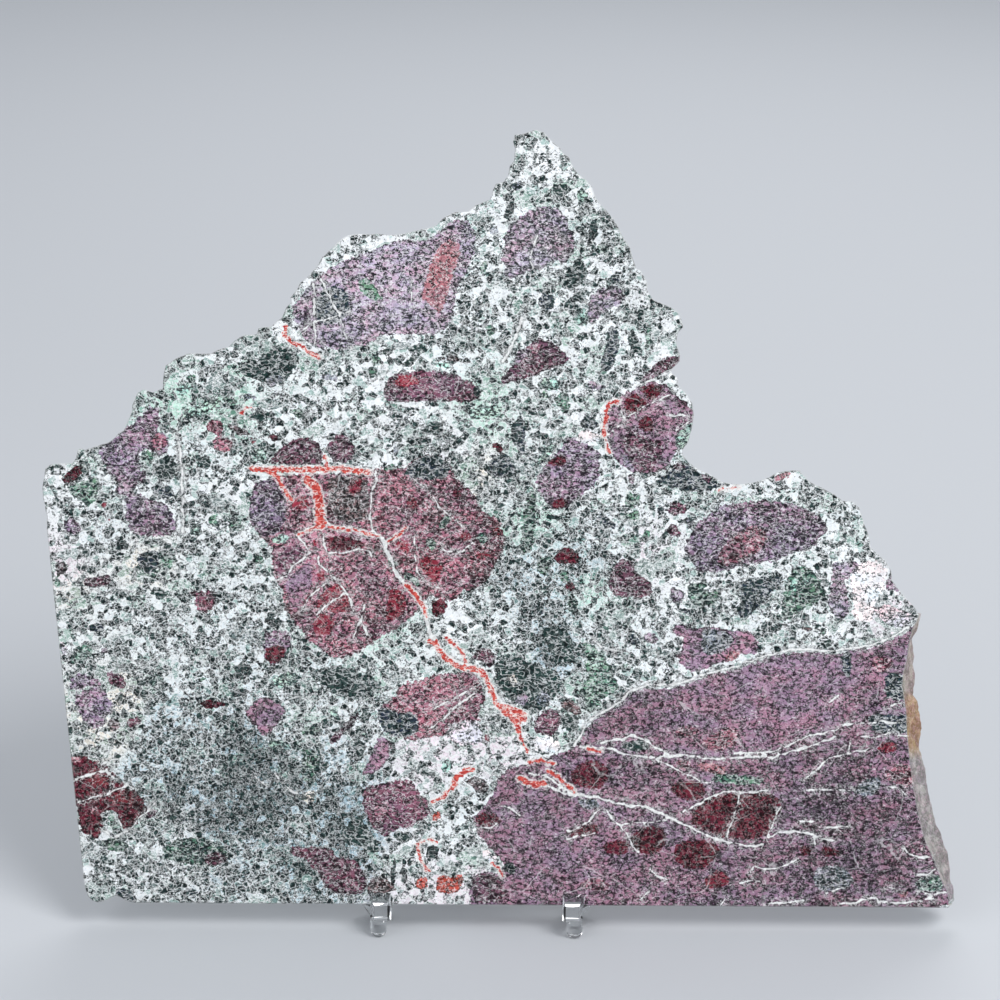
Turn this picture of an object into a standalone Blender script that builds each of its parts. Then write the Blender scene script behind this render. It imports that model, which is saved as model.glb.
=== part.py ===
"""A polished slab of breccia marble, leaning on a small clear easel.

Everything but the pegs and the rear leg is drawn in the slab's own leaning frame, in millimetres: u runs to
the right along the sawn foot of the slab, v up the polished face, and w from that face to the sawn back.
"""

import math

import bmesh
import bpy
from mathutils import Matrix, Vector, noise

MM = 0.001
LEAN = math.radians(20)
FOOT_LIFT = 8.8  # height of the slab's front bottom edge over the table
GAP = 0.3  # left between pieces that touch

# Marble slab
THICKNESS = 9.0
ARRIS_INSET = 0.3
ARRIS_DEPTH = 0.4
WALL_SPACING = 2.6  # longest step along the outline on a broken wall
RING_DEPTHS = (0.34, 0.62, 0.86, 1.0)  # shares of the thickness where the broken walls are shaped
RING_REACH = (0.38, 0.8, 1.0, 0.9)  # share of a wall's slope that each of those rings has reached
WALL_ROUGHNESS = 1.1
WALL_GRAIN = 0.29  # lumps per millimetre on the broken walls
WALL_SETBACK = 0.5  # keeps the lumps of an undercut wall behind the edge of the polished face
UNDERCUT = (0.3, 2.3)  # least and most that a broken wall falls back
UNDERCUT_GRAIN = 0.035
NORMAL_REACH = 4  # neighbours each way that smooth the outline's outward direction

# The sawn left edge is straight between these two ends
LEFT_EDGE = [(-124.9, 6.0), (-136.8, 113.0)]

# Broken upper outline, from the left corner over the peak to the right corner
LEFT_SHOULDER = [
    (-137.0, 116.5), (-138.0, 121.0), (-138.3, 125.0), (-137.7, 128.0), (-137.3, 130.4), (-135.6, 131.7),
    (-132.5, 131.9), (-129.2, 132.0), (-128.2, 133.6), (-127.6, 136.1), (-126.6, 136.5), (-125.3, 136.0),
    (-122.0, 137.2), (-118.5, 138.3), (-116.8, 139.5), (-115.4, 141.1), (-114.0, 141.8), (-112.5, 145.0),
    (-111.5, 147.6), (-111.3, 149.6), (-110.0, 153.0), (-108.0, 154.3), (-105.2, 153.4), (-102.3, 154.5),
    (-102.3, 157.5), (-101.4, 161.4), (-98.5, 163.5), (-95.0, 165.0), (-91.0, 165.2), (-88.0, 165.1),
    (-85.0, 166.6), (-82.8, 167.1), (-80.0, 169.7), (-77.5, 170.8), (-74.3, 171.0), (-73.7, 172.8),
    (-71.8, 173.3), (-70.0, 173.3), (-68.3, 174.9),
]
MAIN_SLOPE = [
    (-67.0, 175.6), (-65.4, 179.0), (-64.1, 180.4), (-64.2, 182.0), (-62.0, 184.8), (-61.2, 186.5),
    (-58.3, 189.0), (-56.0, 191.8), (-54.6, 194.3), (-51.8, 197.0), (-49.2, 199.7), (-47.0, 200.8),
    (-44.0, 201.4), (-41.0, 201.2), (-38.0, 201.5), (-34.5, 201.0), (-30.0, 201.5), (-25.0, 202.8),
    (-20.5, 204.0), (-18.6, 206.0), (-15.0, 208.0), (-11.0, 208.3), (-9.0, 210.0), (-6.5, 211.1),
    (-4.4, 211.8), (-3.8, 214.2), (-2.7, 216.6), (-0.4, 217.3), (1.0, 219.0), (1.4, 221.8),
]
PEAK = [
    (2.7, 223.6), (2.9, 227.0), (2.3, 229.2), (2.9, 231.3), (5.5, 231.7), (7.4, 232.4),
    (9.4, 232.9), (11.7, 232.2), (13.2, 230.6), (15.2, 228.6), (16.8, 227.4), (18.0, 225.6),
    (19.3, 224.8), (20.8, 221.7), (22.3, 219.7), (25.0, 217.5), (26.4, 215.8), (27.2, 213.2),
    (29.3, 210.1), (31.4, 208.2), (34.0, 204.5), (36.0, 200.5), (38.0, 197.5), (38.7, 194.8),
    (39.8, 191.6),
]
RIGHT_SHOULDER = [
    (41.2, 190.8), (43.0, 187.8), (43.3, 184.8), (45.0, 182.1), (50.2, 179.9), (52.4, 178.3),
    (53.8, 175.4), (54.1, 173.7), (52.6, 172.0), (52.0, 169.3), (53.1, 165.6), (53.0, 163.5),
    (50.7, 160.9), (50.8, 159.9), (52.6, 158.5), (52.4, 156.7), (55.0, 154.0), (57.0, 150.8),
    (57.4, 147.5), (56.7, 142.6), (55.8, 139.3),
]
BAY = [
    (54.2, 137.0), (54.1, 135.6), (55.9, 133.4), (58.8, 131.2), (62.0, 129.9), (66.3, 127.4),
    (70.0, 126.9), (75.5, 127.5), (80.0, 129.1), (82.3, 130.6), (85.0, 131.0), (89.2, 131.1),
]
RIGHT_SLOPE = [
    (91.3, 128.8), (92.4, 127.6), (95.5, 126.2), (99.7, 124.0), (102.0, 122.2), (105.2, 122.0),
    (107.2, 120.0), (108.6, 115.5), (110.3, 111.4), (110.8, 108.1), (115.2, 104.1), (117.0, 101.0),
    (117.2, 98.3), (120.2, 94.3), (124.3, 90.0),
]
BROKEN_TOP = LEFT_SHOULDER + MAIN_SLOPE + PEAK + RIGHT_SHOULDER + BAY + RIGHT_SLOPE

# Broken right side, which slopes outward to the back: height, polished face's right edge, outermost point
RIGHT_SIDE = [
    (88.0, 125.4, 126.9), (86.0, 124.7, 126.4), (83.5, 123.5, 125.8), (80.0, 122.7, 125.0),
    (75.0, 122.0, 124.9), (72.5, 121.4, 124.7), (70.0, 120.8, 125.0), (66.5, 120.5, 125.2),
    (63.5, 121.0, 125.1), (61.5, 121.5, 126.2), (58.0, 121.8, 126.8), (55.0, 121.9, 127.6),
    (51.5, 122.2, 127.5), (47.7, 122.6, 127.0), (45.0, 122.9, 127.9), (41.0, 123.5, 128.8),
    (37.0, 124.0, 129.7), (33.0, 124.7, 130.2), (28.5, 125.6, 131.1), (24.0, 126.6, 132.1),
    (21.0, 127.5, 133.4), (18.5, 128.4, 134.7), (16.0, 129.8, 135.0), (13.5, 131.0, 135.9),
    (11.0, 131.8, 136.8), (7.5, 133.1, 136.6), (5.0, 134.1, 137.1), (2.0, 134.7, 137.3),
]
BOTTOM_RIGHT = (134.9, 0.0, 137.3)

# Bottom edge, sawn straight, and the chip beside the rounded bottom left corner
BOTTOM_LEFT = (-109.5, 0.0)
BOTTOM_STEPS = 16
CHIP = [
    (-112.3, 0.6), (-113.8, 1.6), (-115.2, 2.2), (-116.8, 1.6), (-118.4, 0.7), (-120.6, 0.05), (-122.4, 0.6),
    (-123.7, 2.0), (-124.4, 3.8),
]

# Clear easel
EASEL_MIDDLE = -7.0  # u of its line of symmetry
PLATE_THICKNESS = 3.5
PLATE_FRONT = THICKNESS + GAP
PLATE_BACK = PLATE_FRONT + PLATE_THICKNESS
PLATE_TOP = 104.0
PLATE_FOOT_WIDTH = 73.0
PLATE_TOP_WIDTH = 34.0
PLATE_CORNER = 8.0  # how far from each sharp top corner its rounding starts
PLATE_CORNER_STEPS = 6

LIP_OFFSET = 28.6  # from the line of symmetry to the middle of a lip
LIP_FRONT = -4.3
LIP_FRONT_HALF = 1.95
LIP_FRONT_TOP = 0.15
LIP_TOP = 3.6
LIP_INNER = 2.8
LIP_OUTER = 4.2
LIP_OUTER_FOOT = 2.5
ARM_UNDERSIDE = -4.5
# Sections of a tray, which joins its lip to the back plate: w, inner side, outer side at the top, outer side
# at the bottom, underside, top. The first is buried in the lip.
TRAY_SECTIONS = [
    (-1.9, 1.9, 2.0, 1.6, -4.0, -0.7),
    (-GAP, 2.9, 4.9, 2.5, ARM_UNDERSIDE, -GAP),
    (3.0, 3.0, 6.1, 2.6, -4.45, -GAP),
    (6.5, 3.0, 6.6, 2.8, -4.3, -GAP),
    (PLATE_BACK, 3.0, 6.9, 3.0, -4.1, -GAP),
]

PEG_RADIUS = 2.4
PEG_OFFSET = 29.4
PEG_DEPTH = -1.7
PEG_ROOT = 1.2  # how far the peg runs up into the lip
PEG_DOME = 1.7
PEG_DOME_STEPS = 4
PEG_SIDES = 24

SHARP_ANGLE = math.radians(30)

LEG_TOP = 90.0  # v where the leg's top meets the plate
LEG_REACH = 88.0  # how far behind the slab's foot the leg meets the table
LEG_THICKNESS = 3.5
LEG_TOP_WIDTH = 15.5
LEG_FOOT_WIDTH = 24.0

LEANING = Matrix.Translation((0, 0, FOOT_LIFT * MM)) @ Matrix.Rotation(-LEAN, 4, "X")


def at(u, v, w):
    """A point of the leaning frame, whose own axes are u, w and v."""
    return Vector((u, w, v)) * MM


def on_table(u, v, w):
    """The same point over the table, on which the slab's front bottom edge is at y = 0."""
    return LEANING @ at(u, v, w)


def material(name, colour, roughness, transmission=0.0, ior=1.5):
    made = bpy.data.materials.new(name)
    made.use_nodes = True
    shader = made.node_tree.nodes["Principled BSDF"]
    shader.inputs["Base Color"].default_value = (*colour, 1)
    shader.inputs["Roughness"].default_value = roughness
    shader.inputs["Metallic"].default_value = 0
    shader.inputs["Transmission Weight"].default_value = transmission
    shader.inputs["IOR"].default_value = ior
    return made


def add_object(name, mesh_builder, finish, parent, location=(0, 0, 0)):
    mesh = bpy.data.meshes.new(name)
    mesh_builder.to_mesh(mesh)
    mesh_builder.free()
    mesh.materials.append(finish)
    made = bpy.data.objects.new(name, mesh)
    made.parent = parent
    made.location = location
    slab_and_easel.objects.link(made)
    return made


def add_empty(name, parent=None):
    made = bpy.data.objects.new(name, None)
    made.parent = parent
    slab_and_easel.objects.link(made)
    return made


def loft(rings):
    """A closed body through rings of equal counts, with a flat face at each end."""
    made = bmesh.new()
    rows = [[made.verts.new(point) for point in ring] for ring in rings]
    for row, after in zip(rows, rows[1:]):
        for i in range(len(row)):
            j = (i + 1) % len(row)
            made.faces.new((row[i], row[j], after[j], after[i]))
    made.faces.new(rows[0])
    made.faces.new(rows[-1])
    bmesh.ops.recalc_face_normals(made, faces=made.faces)
    return made


def smooth_through(points, before, after):
    """The points, with more on a smooth curve where they lie further apart than WALL_SPACING."""
    chain = [Vector(point) for point in [before, *points, after]]
    curve = []
    for i in range(1, len(chain) - 2):
        a, b, c, d = chain[i - 1 : i + 3]
        steps = max(1, round((c - b).length / WALL_SPACING))
        for k in range(steps):
            t = k / steps
            bend = (2 * a - 5 * b + 4 * c - d) * t**2 + (3 * b - a - 3 * c + d) * t**3
            curve.append(b + ((c - a) * t + bend) / 2)
    curve.append(chain[-2])
    return curve


def slab_outline():
    """The polished face's outline, clockwise from the foot: points with the wall's slope and its breakage."""
    outline = []
    foot_right = Vector(BOTTOM_RIGHT[:2])
    foot_left = Vector(BOTTOM_LEFT)
    for k in range(BOTTOM_STEPS):
        t = k / BOTTOM_STEPS
        slope = (BOTTOM_RIGHT[2] - BOTTOM_RIGHT[0]) if k == 0 else 0.0
        outline.append((foot_right.lerp(foot_left, t), Vector((slope, 0)), 0.0))
    for point in [BOTTOM_LEFT, *CHIP, *LEFT_EDGE]:
        outline.append((Vector(point), None, 0.0))
    for point in smooth_through(BROKEN_TOP, LEFT_EDGE[-1], RIGHT_SIDE[0][1::-1]):
        outline.append((point, None, 1.0))
    for height, edge, outermost in RIGHT_SIDE:
        outline.append((Vector((edge, height)), Vector((outermost - edge, 0)), 1.0))
    return outline


def outward_directions(points):
    """The outward direction at each point of a clockwise outline, smoothed over its neighbours."""
    count = len(points)
    directions = []
    for i in range(count):
        run = points[(i + NORMAL_REACH) % count] - points[i - NORMAL_REACH]
        directions.append(Vector((run.y, -run.x)).normalized() * -1)
    return directions


def wall_slope(point, outward, slope):
    """How far the wall moves sideways at its furthest: set for the right side, from noise elsewhere."""
    if slope is not None:
        return slope
    least, most = UNDERCUT
    share = 0.5 + noise.noise(Vector((*point, 0)) * UNDERCUT_GRAIN)
    return -outward * (least + (most - least) * min(max(share, 0), 1))


def slab_rings():
    outline = slab_outline()
    points = [point for point, _, _ in outline]
    directions = outward_directions(points)
    rings = [
        [at(*(p - d * ARRIS_INSET), 0) for p, d in zip(points, directions)],
        [at(*p, ARRIS_DEPTH) for p in points],
    ]
    for depth, reach in zip(RING_DEPTHS, RING_REACH):
        ring = []
        w = depth * THICKNESS
        for (point, slope, breakage), outward in zip(outline, directions):
            lump = noise.noise(Vector((*point, w)) * WALL_GRAIN)
            shift = wall_slope(point, outward, slope) * reach if slope or breakage else Vector((0, 0))
            shift += outward * breakage * WALL_ROUGHNESS * (lump - (0 if slope else WALL_SETBACK))
            ring.append(at(*(point + shift), w))
        rings.append(ring)
    return rings


def easel_plate():
    """The back plate, centred on its own origin: it narrows to the top, where its corners are rounded."""
    made = bmesh.new()
    size = Vector((PLATE_FOOT_WIDTH, PLATE_THICKNESS, PLATE_TOP)) * MM
    bmesh.ops.create_cube(made, size=1, matrix=Matrix.Diagonal((*size, 1)))
    for vert in made.verts:
        if vert.co.z > 0:
            vert.co.x *= PLATE_TOP_WIDTH / PLATE_FOOT_WIDTH
    corners = [
        edge
        for edge in made.edges
        if all(vert.co.z > 0 for vert in edge.verts) and edge.verts[0].co.x == edge.verts[1].co.x
    ]
    bmesh.ops.bevel(
        made, geom=corners, offset=PLATE_CORNER * MM, segments=PLATE_CORNER_STEPS, profile=0.5, affect="EDGES"
    )
    return made


def arm_section(side, w, inner, outer, outer_foot, underside, top):
    """A section square to w, about the middle of the arm. The inner side is the one towards the other arm."""
    return [
        at(-side * inner, underside, w),
        at(side * outer_foot, underside, w),
        at(side * outer, top, w),
        at(-side * inner, top, w),
    ]


def easel_lip(side):
    """The upturned lip in front of the slab: a block that narrows to the front under a bevelled top."""
    half = LIP_FRONT_HALF
    return loft(
        [
            arm_section(side, LIP_FRONT, half, half, half, ARM_UNDERSIDE, LIP_FRONT_TOP),
            arm_section(side, -GAP, LIP_INNER, LIP_OUTER, LIP_OUTER_FOOT, ARM_UNDERSIDE, LIP_TOP),
        ]
    )


def easel_tray(side):
    """The part of an arm that passes under the slab and carries the back plate."""
    return loft([arm_section(side, *section) for section in TRAY_SECTIONS])


def easel_peg(length):
    """The round foot under a lip, with a domed end that has a small flat on the table at its own origin."""
    made = bmesh.new()
    bmesh.ops.create_cone(
        made,
        cap_ends=True,
        segments=PEG_SIDES,
        radius1=PEG_RADIUS * MM,
        radius2=PEG_RADIUS * MM,
        depth=length,
        matrix=Matrix.Translation((0, 0, length / 2)),
    )
    rim = [edge for edge in made.edges if all(vert.co.z < length / 2 for vert in edge.verts)]
    dome = PEG_DOME * MM
    bmesh.ops.bevel(made, geom=rim, offset=dome, segments=PEG_DOME_STEPS, profile=0.5, affect="EDGES")
    return made


def join(whole, others):
    """Unions the others into the whole and removes them."""
    for other in others:
        union = whole.modifiers.new("Union", "BOOLEAN")
        union.operation = "UNION"
        union.object = other
        bpy.context.view_layer.update()
        evaluated = whole.evaluated_get(bpy.context.evaluated_depsgraph_get())
        mesh = bpy.data.meshes.new_from_object(evaluated)
        whole.modifiers.clear()
        mesh.name = whole.name
        whole.data = mesh
        bpy.data.objects.remove(other)
    whole.data.shade_smooth()
    whole.data.set_sharp_from_angle(angle=SHARP_ANGLE)


def easel_leg(foot):
    """A strip from the back plate down to its foot, which is wider, cut level and at its own origin."""
    top = on_table(EASEL_MIDDLE, LEG_TOP, PLATE_BACK) - foot
    run = -top.normalized()
    depth = Vector((0, LEG_THICKNESS * MM / -run.z, 0))

    def section(middle, width):
        half = Vector((width * MM / 2, 0, 0))
        return [middle - half, middle + half, middle + half + depth, middle - half + depth]

    plate = on_table(EASEL_MIDDLE, 0, PLATE_BACK + GAP) - foot
    through = on_table(0, 0, 1) - on_table(0, 0, 0)
    seat = []
    for point in section(top, LEG_TOP_WIDTH):
        reach = (plate - point).dot(through) / run.dot(through)
        seat.append(point + run * reach)
    return loft([section(Vector(), LEG_FOOT_WIDTH), seat])


def centre_on_table(whole, objects):
    """Moves the whole so that the middle of its footprint is at the world origin."""
    bpy.context.view_layer.update()
    corners = [obj.matrix_world @ vert.co for obj in objects for vert in obj.data.vertices]
    low = Vector(map(min, zip(*corners)))
    high = Vector(map(max, zip(*corners)))
    whole.location = (-(low.x + high.x) / 2, -(low.y + high.y) / 2, -low.z)


for old in list(bpy.data.objects):
    bpy.data.objects.remove(old)

slab_and_easel = bpy.data.collections.new("marble_slab_on_easel")
bpy.context.scene.collection.children.link(slab_and_easel)
whole = add_empty("slab_on_easel")
leaning = add_empty("leaning_frame", whole)
leaning.matrix_basis = LEANING

marble = material("breccia marble", (0.26, 0.21, 0.24), 0.2)
acrylic = material("clear acrylic", (0.95, 0.97, 0.98), 0.03, transmission=1.0, ior=1.49)

slab = add_object("marble_slab", loft(slab_rings()), marble, leaning)
plate_middle = at(EASEL_MIDDLE, PLATE_TOP / 2, (PLATE_FRONT + PLATE_BACK) / 2)
plate = add_object("easel_back", easel_plate(), acrylic, leaning, plate_middle)
leg_foot = Vector((EASEL_MIDDLE, LEG_REACH, 0)) * MM
leg = add_object("easel_leg", easel_leg(leg_foot), acrylic, whole, leg_foot)
arms = []
for side, name in ((-1, "easel_arm_left"), (1, "easel_arm_right")):
    arm_middle = at(EASEL_MIDDLE + side * LIP_OFFSET, 0, 0)
    arm = add_object(name, easel_lip(side), acrylic, leaning, arm_middle)
    tray = add_object(name + "_tray", easel_tray(side), acrylic, leaning, arm_middle)
    peg_top = on_table(EASEL_MIDDLE + side * PEG_OFFSET, ARM_UNDERSIDE + PEG_ROOT, PEG_DEPTH)
    peg = add_object(name + "_peg", easel_peg(peg_top.z), acrylic, whole, (peg_top.x, peg_top.y, 0))
    join(arm, [tray, peg])
    arms.append(arm)

centre_on_table(whole, [slab, plate, leg, *arms])
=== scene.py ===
import math
import random

import bmesh
import bpy
import numpy as np
from mathutils import Matrix, Vector, noise
from mathutils.geometry import delaunay_2d_cdt


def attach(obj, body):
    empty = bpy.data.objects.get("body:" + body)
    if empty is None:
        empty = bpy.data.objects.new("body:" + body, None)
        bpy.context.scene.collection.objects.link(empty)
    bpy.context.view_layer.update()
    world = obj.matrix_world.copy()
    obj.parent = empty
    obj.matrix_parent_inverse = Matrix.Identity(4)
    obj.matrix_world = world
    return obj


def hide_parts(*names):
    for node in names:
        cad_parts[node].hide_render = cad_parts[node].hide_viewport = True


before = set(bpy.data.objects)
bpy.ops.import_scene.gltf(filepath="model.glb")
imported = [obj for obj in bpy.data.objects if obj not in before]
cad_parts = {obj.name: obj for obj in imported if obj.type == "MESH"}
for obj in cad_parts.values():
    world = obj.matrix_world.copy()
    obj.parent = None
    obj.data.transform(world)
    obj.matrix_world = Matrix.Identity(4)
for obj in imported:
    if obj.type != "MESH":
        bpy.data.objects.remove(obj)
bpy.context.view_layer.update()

# ---------------------------------------------------------------------------------------------------------
# The setting: a plain pale floor under soft studio light, and a camera square to the polished face of the
# slab, which leans back by 20 degrees.
MM = 0.001
LEAN = math.radians(20)
SIN_LEAN, COS_LEAN = math.sin(LEAN), math.cos(LEAN)

CAMERA_TARGET = Vector((-0.35, -1.60, 123.03)) * MM
CAMERA_DISTANCE = 0.9
CAMERA_LENS = 108
CAMERA_SENSOR = 36
CAMERA_NEAR = 0.05
CAMERA_ROLL = math.radians(0.355)

FLOOR_SIZE = 8.0
FLOOR_DROP = 0.00003  # keeps the floor just under the feet
FLOOR_COLOUR = (0.62, 0.64, 0.67, 1)
FLOOR_ROUGHNESS = 0.7
AIR_COLOUR = (0.80, 0.84, 0.90, 1)
AIR_STRENGTH = 0.52

# Name, place, size and power of each soft light
LIGHTS = [
    ("key_light", (0.75, -0.75, 1.25), 0.9, 14.8),
    ("fill_light", (-1.1, -0.9, 0.9), 1.2, 4.5),
    ("back_light", (0.2, 1.2, 1.1), 1.0, 6.0),
]
LIGHT_TARGET = Vector((0, 0, 0.1))

scene = bpy.context.scene
scene.view_settings.view_transform = "Standard"

toward_camera = Vector((0, -COS_LEAN, SIN_LEAN))
camera = bpy.data.objects.new("camera", bpy.data.cameras.new("camera"))
camera.data.lens = CAMERA_LENS
camera.data.sensor_width = CAMERA_SENSOR
camera.data.clip_start = CAMERA_NEAR
stand = Matrix.Translation(CAMERA_TARGET + toward_camera * CAMERA_DISTANCE)
turned = (-toward_camera).to_track_quat("-Z", "Y").to_matrix().to_4x4()
camera.matrix_world = stand @ turned @ Matrix.Rotation(CAMERA_ROLL, 4, "Z")
scene.collection.objects.link(camera)
scene.camera = camera

for name, place, size, power in LIGHTS:
    light = bpy.data.lights.new(name, "AREA")
    light.shape = "DISK"
    light.size = size
    light.energy = power
    lamp = bpy.data.objects.new(name, light)
    lamp.location = place
    lamp.rotation_euler = (LIGHT_TARGET - lamp.location).to_track_quat("-Z", "Y").to_euler()
    scene.collection.objects.link(lamp)

world = bpy.data.worlds.new("studio")
world.use_nodes = True
air = world.node_tree.nodes["Background"]
air.inputs["Color"].default_value = AIR_COLOUR
air.inputs["Strength"].default_value = AIR_STRENGTH
scene.world = world

floor_mesh = bpy.data.meshes.new("floor")
half = FLOOR_SIZE / 2
corners = [(x * half, y * half, -FLOOR_DROP) for x, y in ((-1, -1), (1, -1), (1, 1), (-1, 1))]
floor_mesh.from_pydata(corners, [], [(0, 1, 2, 3)])
floor = bpy.data.objects.new("floor", floor_mesh)
scene.collection.objects.link(floor)
floor_finish = bpy.data.materials.new("pale floor")
floor_finish.use_nodes = True
shader = floor_finish.node_tree.nodes["Principled BSDF"]
shader.inputs["Base Color"].default_value = FLOOR_COLOUR
shader.inputs["Roughness"].default_value = FLOOR_ROUGHNESS
floor_mesh.materials.append(floor_finish)

# ---------------------------------------------------------------------------------------------------------
# The marble slab: a breccia of purple, maroon and green fragments in a speckled white and black-green ground,
# laced with white and red veins. Its face is polished, its back, foot and left edge are sawn, and the rest of
# its outline is broken and weathered. All of its markings are drawn in millimetres on the polished face.
SLAB_FOOT = Vector((0.404, -43.173, 8.8))  # world place of the origin of the slab's leaning frame
THICKNESS = 9.0
FOOT_TOP = 6.5  # the wall below this, and left of FOOT_RIGHT, is the sawn foot
FOOT_RIGHT = 134.8
LEFT_START = (-124.5, 6)  # the sawn left edge runs from here to LEFT_CORNER
LEFT_CORNER = np.array([-136.8, 113])
LEFT_SLANT = 0.1112  # how far it leans outward for each millimetre up
LEFT_MARGIN = 0.6
PITCH = 0.85  # between points on the polished face and along its outline
BACK_PITCH = 1.7
WALL_ROWS = (0, 0.4, 1.2, 2.1, 3.06, 3.9, 4.7, 5.58, 6.3, 7.0, 7.74, 8.4, 9)

# The crumbled wall: two sizes of noise, in waves to a millimetre, and the deepest bite of each
COARSE_CRUMBS = 0.55
FINE_CRUMBS = 1.3
FINE_SHIFT = Vector((7, 3, 5))
BITE = 0.45
EDGE_BITE = 0.45  # share of the bite that the two rows next to the polished face take

# The sheets of points on the face and back, as shares of their pitch
JITTER = 0.22
RIM_GAP = 0.45  # least distance of a point from the outline
VEIN_RIM_GAP = 0.6  # the same, for a vein's point
VEIN_GAP = 0.5  # least distance of any other point from a vein
BATCH = 4000  # points measured at a time

# The markings
DRIFT = (0.25, -0.15)  # how far they shift, across and up, for each millimetre into the stone
FAR = -9.0  # the distance inside a marking of the points that it doesn't reach
CLAST_REACH = 3.0  # how far outside a fragment its own colours are kept for the blend at its edge
VEIN_REACH = 3
CORNER_CUT = 0.2  # share of an outline's edge that is cut off at each corner
WANDER = 0.5  # how far a vein strays from its straight runs at most, and in how many waves to a millimetre
WANDER_WAVES = 0.4
WHITE_WIDENING, RED_WIDENING = 0.6, 1.05  # what the veins' half widths are multiplied by
GROUND_BLEND = 12  # square millimetres over which the ground's places run together
TONES = (0.86, 1.12)  # how much darker or lighter than its kind a fragment may be
GROUND_SHADING = 0.35  # share of SHADES that the ground's own colour takes
SPECK_SHADING = 0.3  # share of SHADES that the threshold of the dark specks takes

# Colour, share of dark specks, share of light specks, share of light net, and how far the dark specks take
# the fragment's own colour rather than black-green
KINDS = {
    "chalk": ((0.96, 0.96, 0.97), 0.08, 0.30, 0.02, 0),
    "white": ((0.96, 0.97, 0.98), 0.39, 0.30, 0.02, 0),
    "pale": ((0.93, 0.95, 0.96), 0.50, 0.30, 0.03, 0),
    "speckled": ((0.90, 0.93, 0.94), 0.57, 0.25, 0.03, 0),
    "teal": ((0.76, 0.84, 0.87), 0.64, 0.22, 0.022, 0),
    "deep teal": ((0.60, 0.71, 0.76), 0.76, 0.14, 0.013, 0),
    "pinkish": ((0.94, 0.89, 0.92), 0.30, 0.20, 0.03, 0.3),
    "cream": ((0.93, 0.90, 0.85), 0.45, 0.25, 0.03, 0.2),
    "mint": ((0.72, 0.86, 0.80), 0.38, 0.20, 0.02, 0),
    "purple": ((0.64, 0.53, 0.63), 0.38, 0.13, 0.03, 0.8),
    "lilac": ((0.72, 0.64, 0.72), 0.36, 0.14, 0.03, 0.6),
    "mauve": ((0.66, 0.515, 0.605), 0.25, 0.09, 0.010, 0.9),
    "rose": ((0.69, 0.46, 0.53), 0.34, 0.12, 0.024, 1),
    "maroon": ((0.51, 0.33, 0.41), 0.34, 0.09, 0.024, 0.9),
    "wine": ((0.43, 0.14, 0.21), 0.28, 0.03, 0.004, 1),
    "crimson": ((0.58, 0.20, 0.27), 0.16, 0.04, 0.010, 1),
    "garnet": ((0.49, 0.19, 0.23), 0.20, 0.05, 0.012, 1),
    "scarlet": ((0.80, 0.34, 0.28), 0.16, 0.14, 0.02, 1),
    "coral": ((0.74, 0.50, 0.54), 0.18, 0.15, 0.02, 1),
    "brown": ((0.54, 0.45, 0.46), 0.40, 0.10, 0.03, 0.8),
    "grey": ((0.60, 0.61, 0.66), 0.38, 0.14, 0.03, 0.3),
    "green": ((0.42, 0.60, 0.50), 0.44, 0.14, 0.04, 0),
    "pine": ((0.13, 0.24, 0.22), 0.40, 0.06, 0.04, 0),
    "navy": ((0.15, 0.20, 0.27), 0.40, 0.05, 0.04, 0),
    "ink": ((0.07, 0.10, 0.11), 0.40, 0.03, 0.02, 0),
}

# The ground between the fragments: what it is like about a point
GROUND = [
    ("white", (-134, 125, -75, 168, -60, 181, -48, 197, -28, 201, -12, 206, 8, 228, 26, 211, 36, 198, 42, 184,
        48, 168)),
    ("white", (-85, 120, -35, 163, 50, 103, 62, 86, 60, 69, 110, 96, 85, 129, 97, 81, 15, 48, -24, 12,
        -120, 4)),
    ("white", (-28, 140, -15, 140, -12, 84, 33, 60, 104, 110, 27, 151, -40, 160, 30, 192)),
    ("pale", (-120, 134, -90, 160, -48, 178, 0, 212, -4, 181, 22, 175, 40, 172, -46, 160, -60, 150, 32, 125,
        92, 113)),
    ("pale", (-130, 84, -112, 12, -95, 24, -30, 77, 2, 78, -60, 143, 12, 150, 24, 160, 42, 92, 90, 82,
        -100, 8, -14, 20)),
    ("speckled", (-92, 134, -119, 90, -104, 80, -88, 100, -60, 57, -44, 55, 38, 86, 30, 80, -5, 90, 0, 122,
        30, 110)),
    ("speckled", (105, 122, 100, 126, 88, 125, 98, 120, 112, 112, 74, 125, 60, 122, 28, 205, 34, 196,
        38, 190)),
    ("deep teal", (-80, 30, -60, 34, -88, 26, -96, 34, -62, 12, -50, 30)),
    ("speckled", (-95, 70, -75, 90, -120, 110, -108, 92, -66, 60, -72, 6, 5, 130, -10, 30, 22, 54, 70, 84,
        -15, 170)),
    ("teal", (-102, 55, -90, 40, -108, 40, -60, 24, -78, 12, -52, 42, 12, 92, 20, 98, 26, 104, -90, 52,
        5, 100, -66, 3)),
    ("deep teal", (-74, 38, -68, 30, -44, 22, -76, 46, 15, 78)),
    ("mint", (-99, 151, -84, 150, -6, 148, -2, 112, 7, 116, 25, 96, -33, 81)),
    ("pinkish", (-22, 45, -2, 48, 120, 88, -10, 8, -132, 100, -22, 8, 44, 104)),
    ("cream", (-118, 49, -128, 92, -108, 98, -7, 128, -112, 60)),
]

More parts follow.
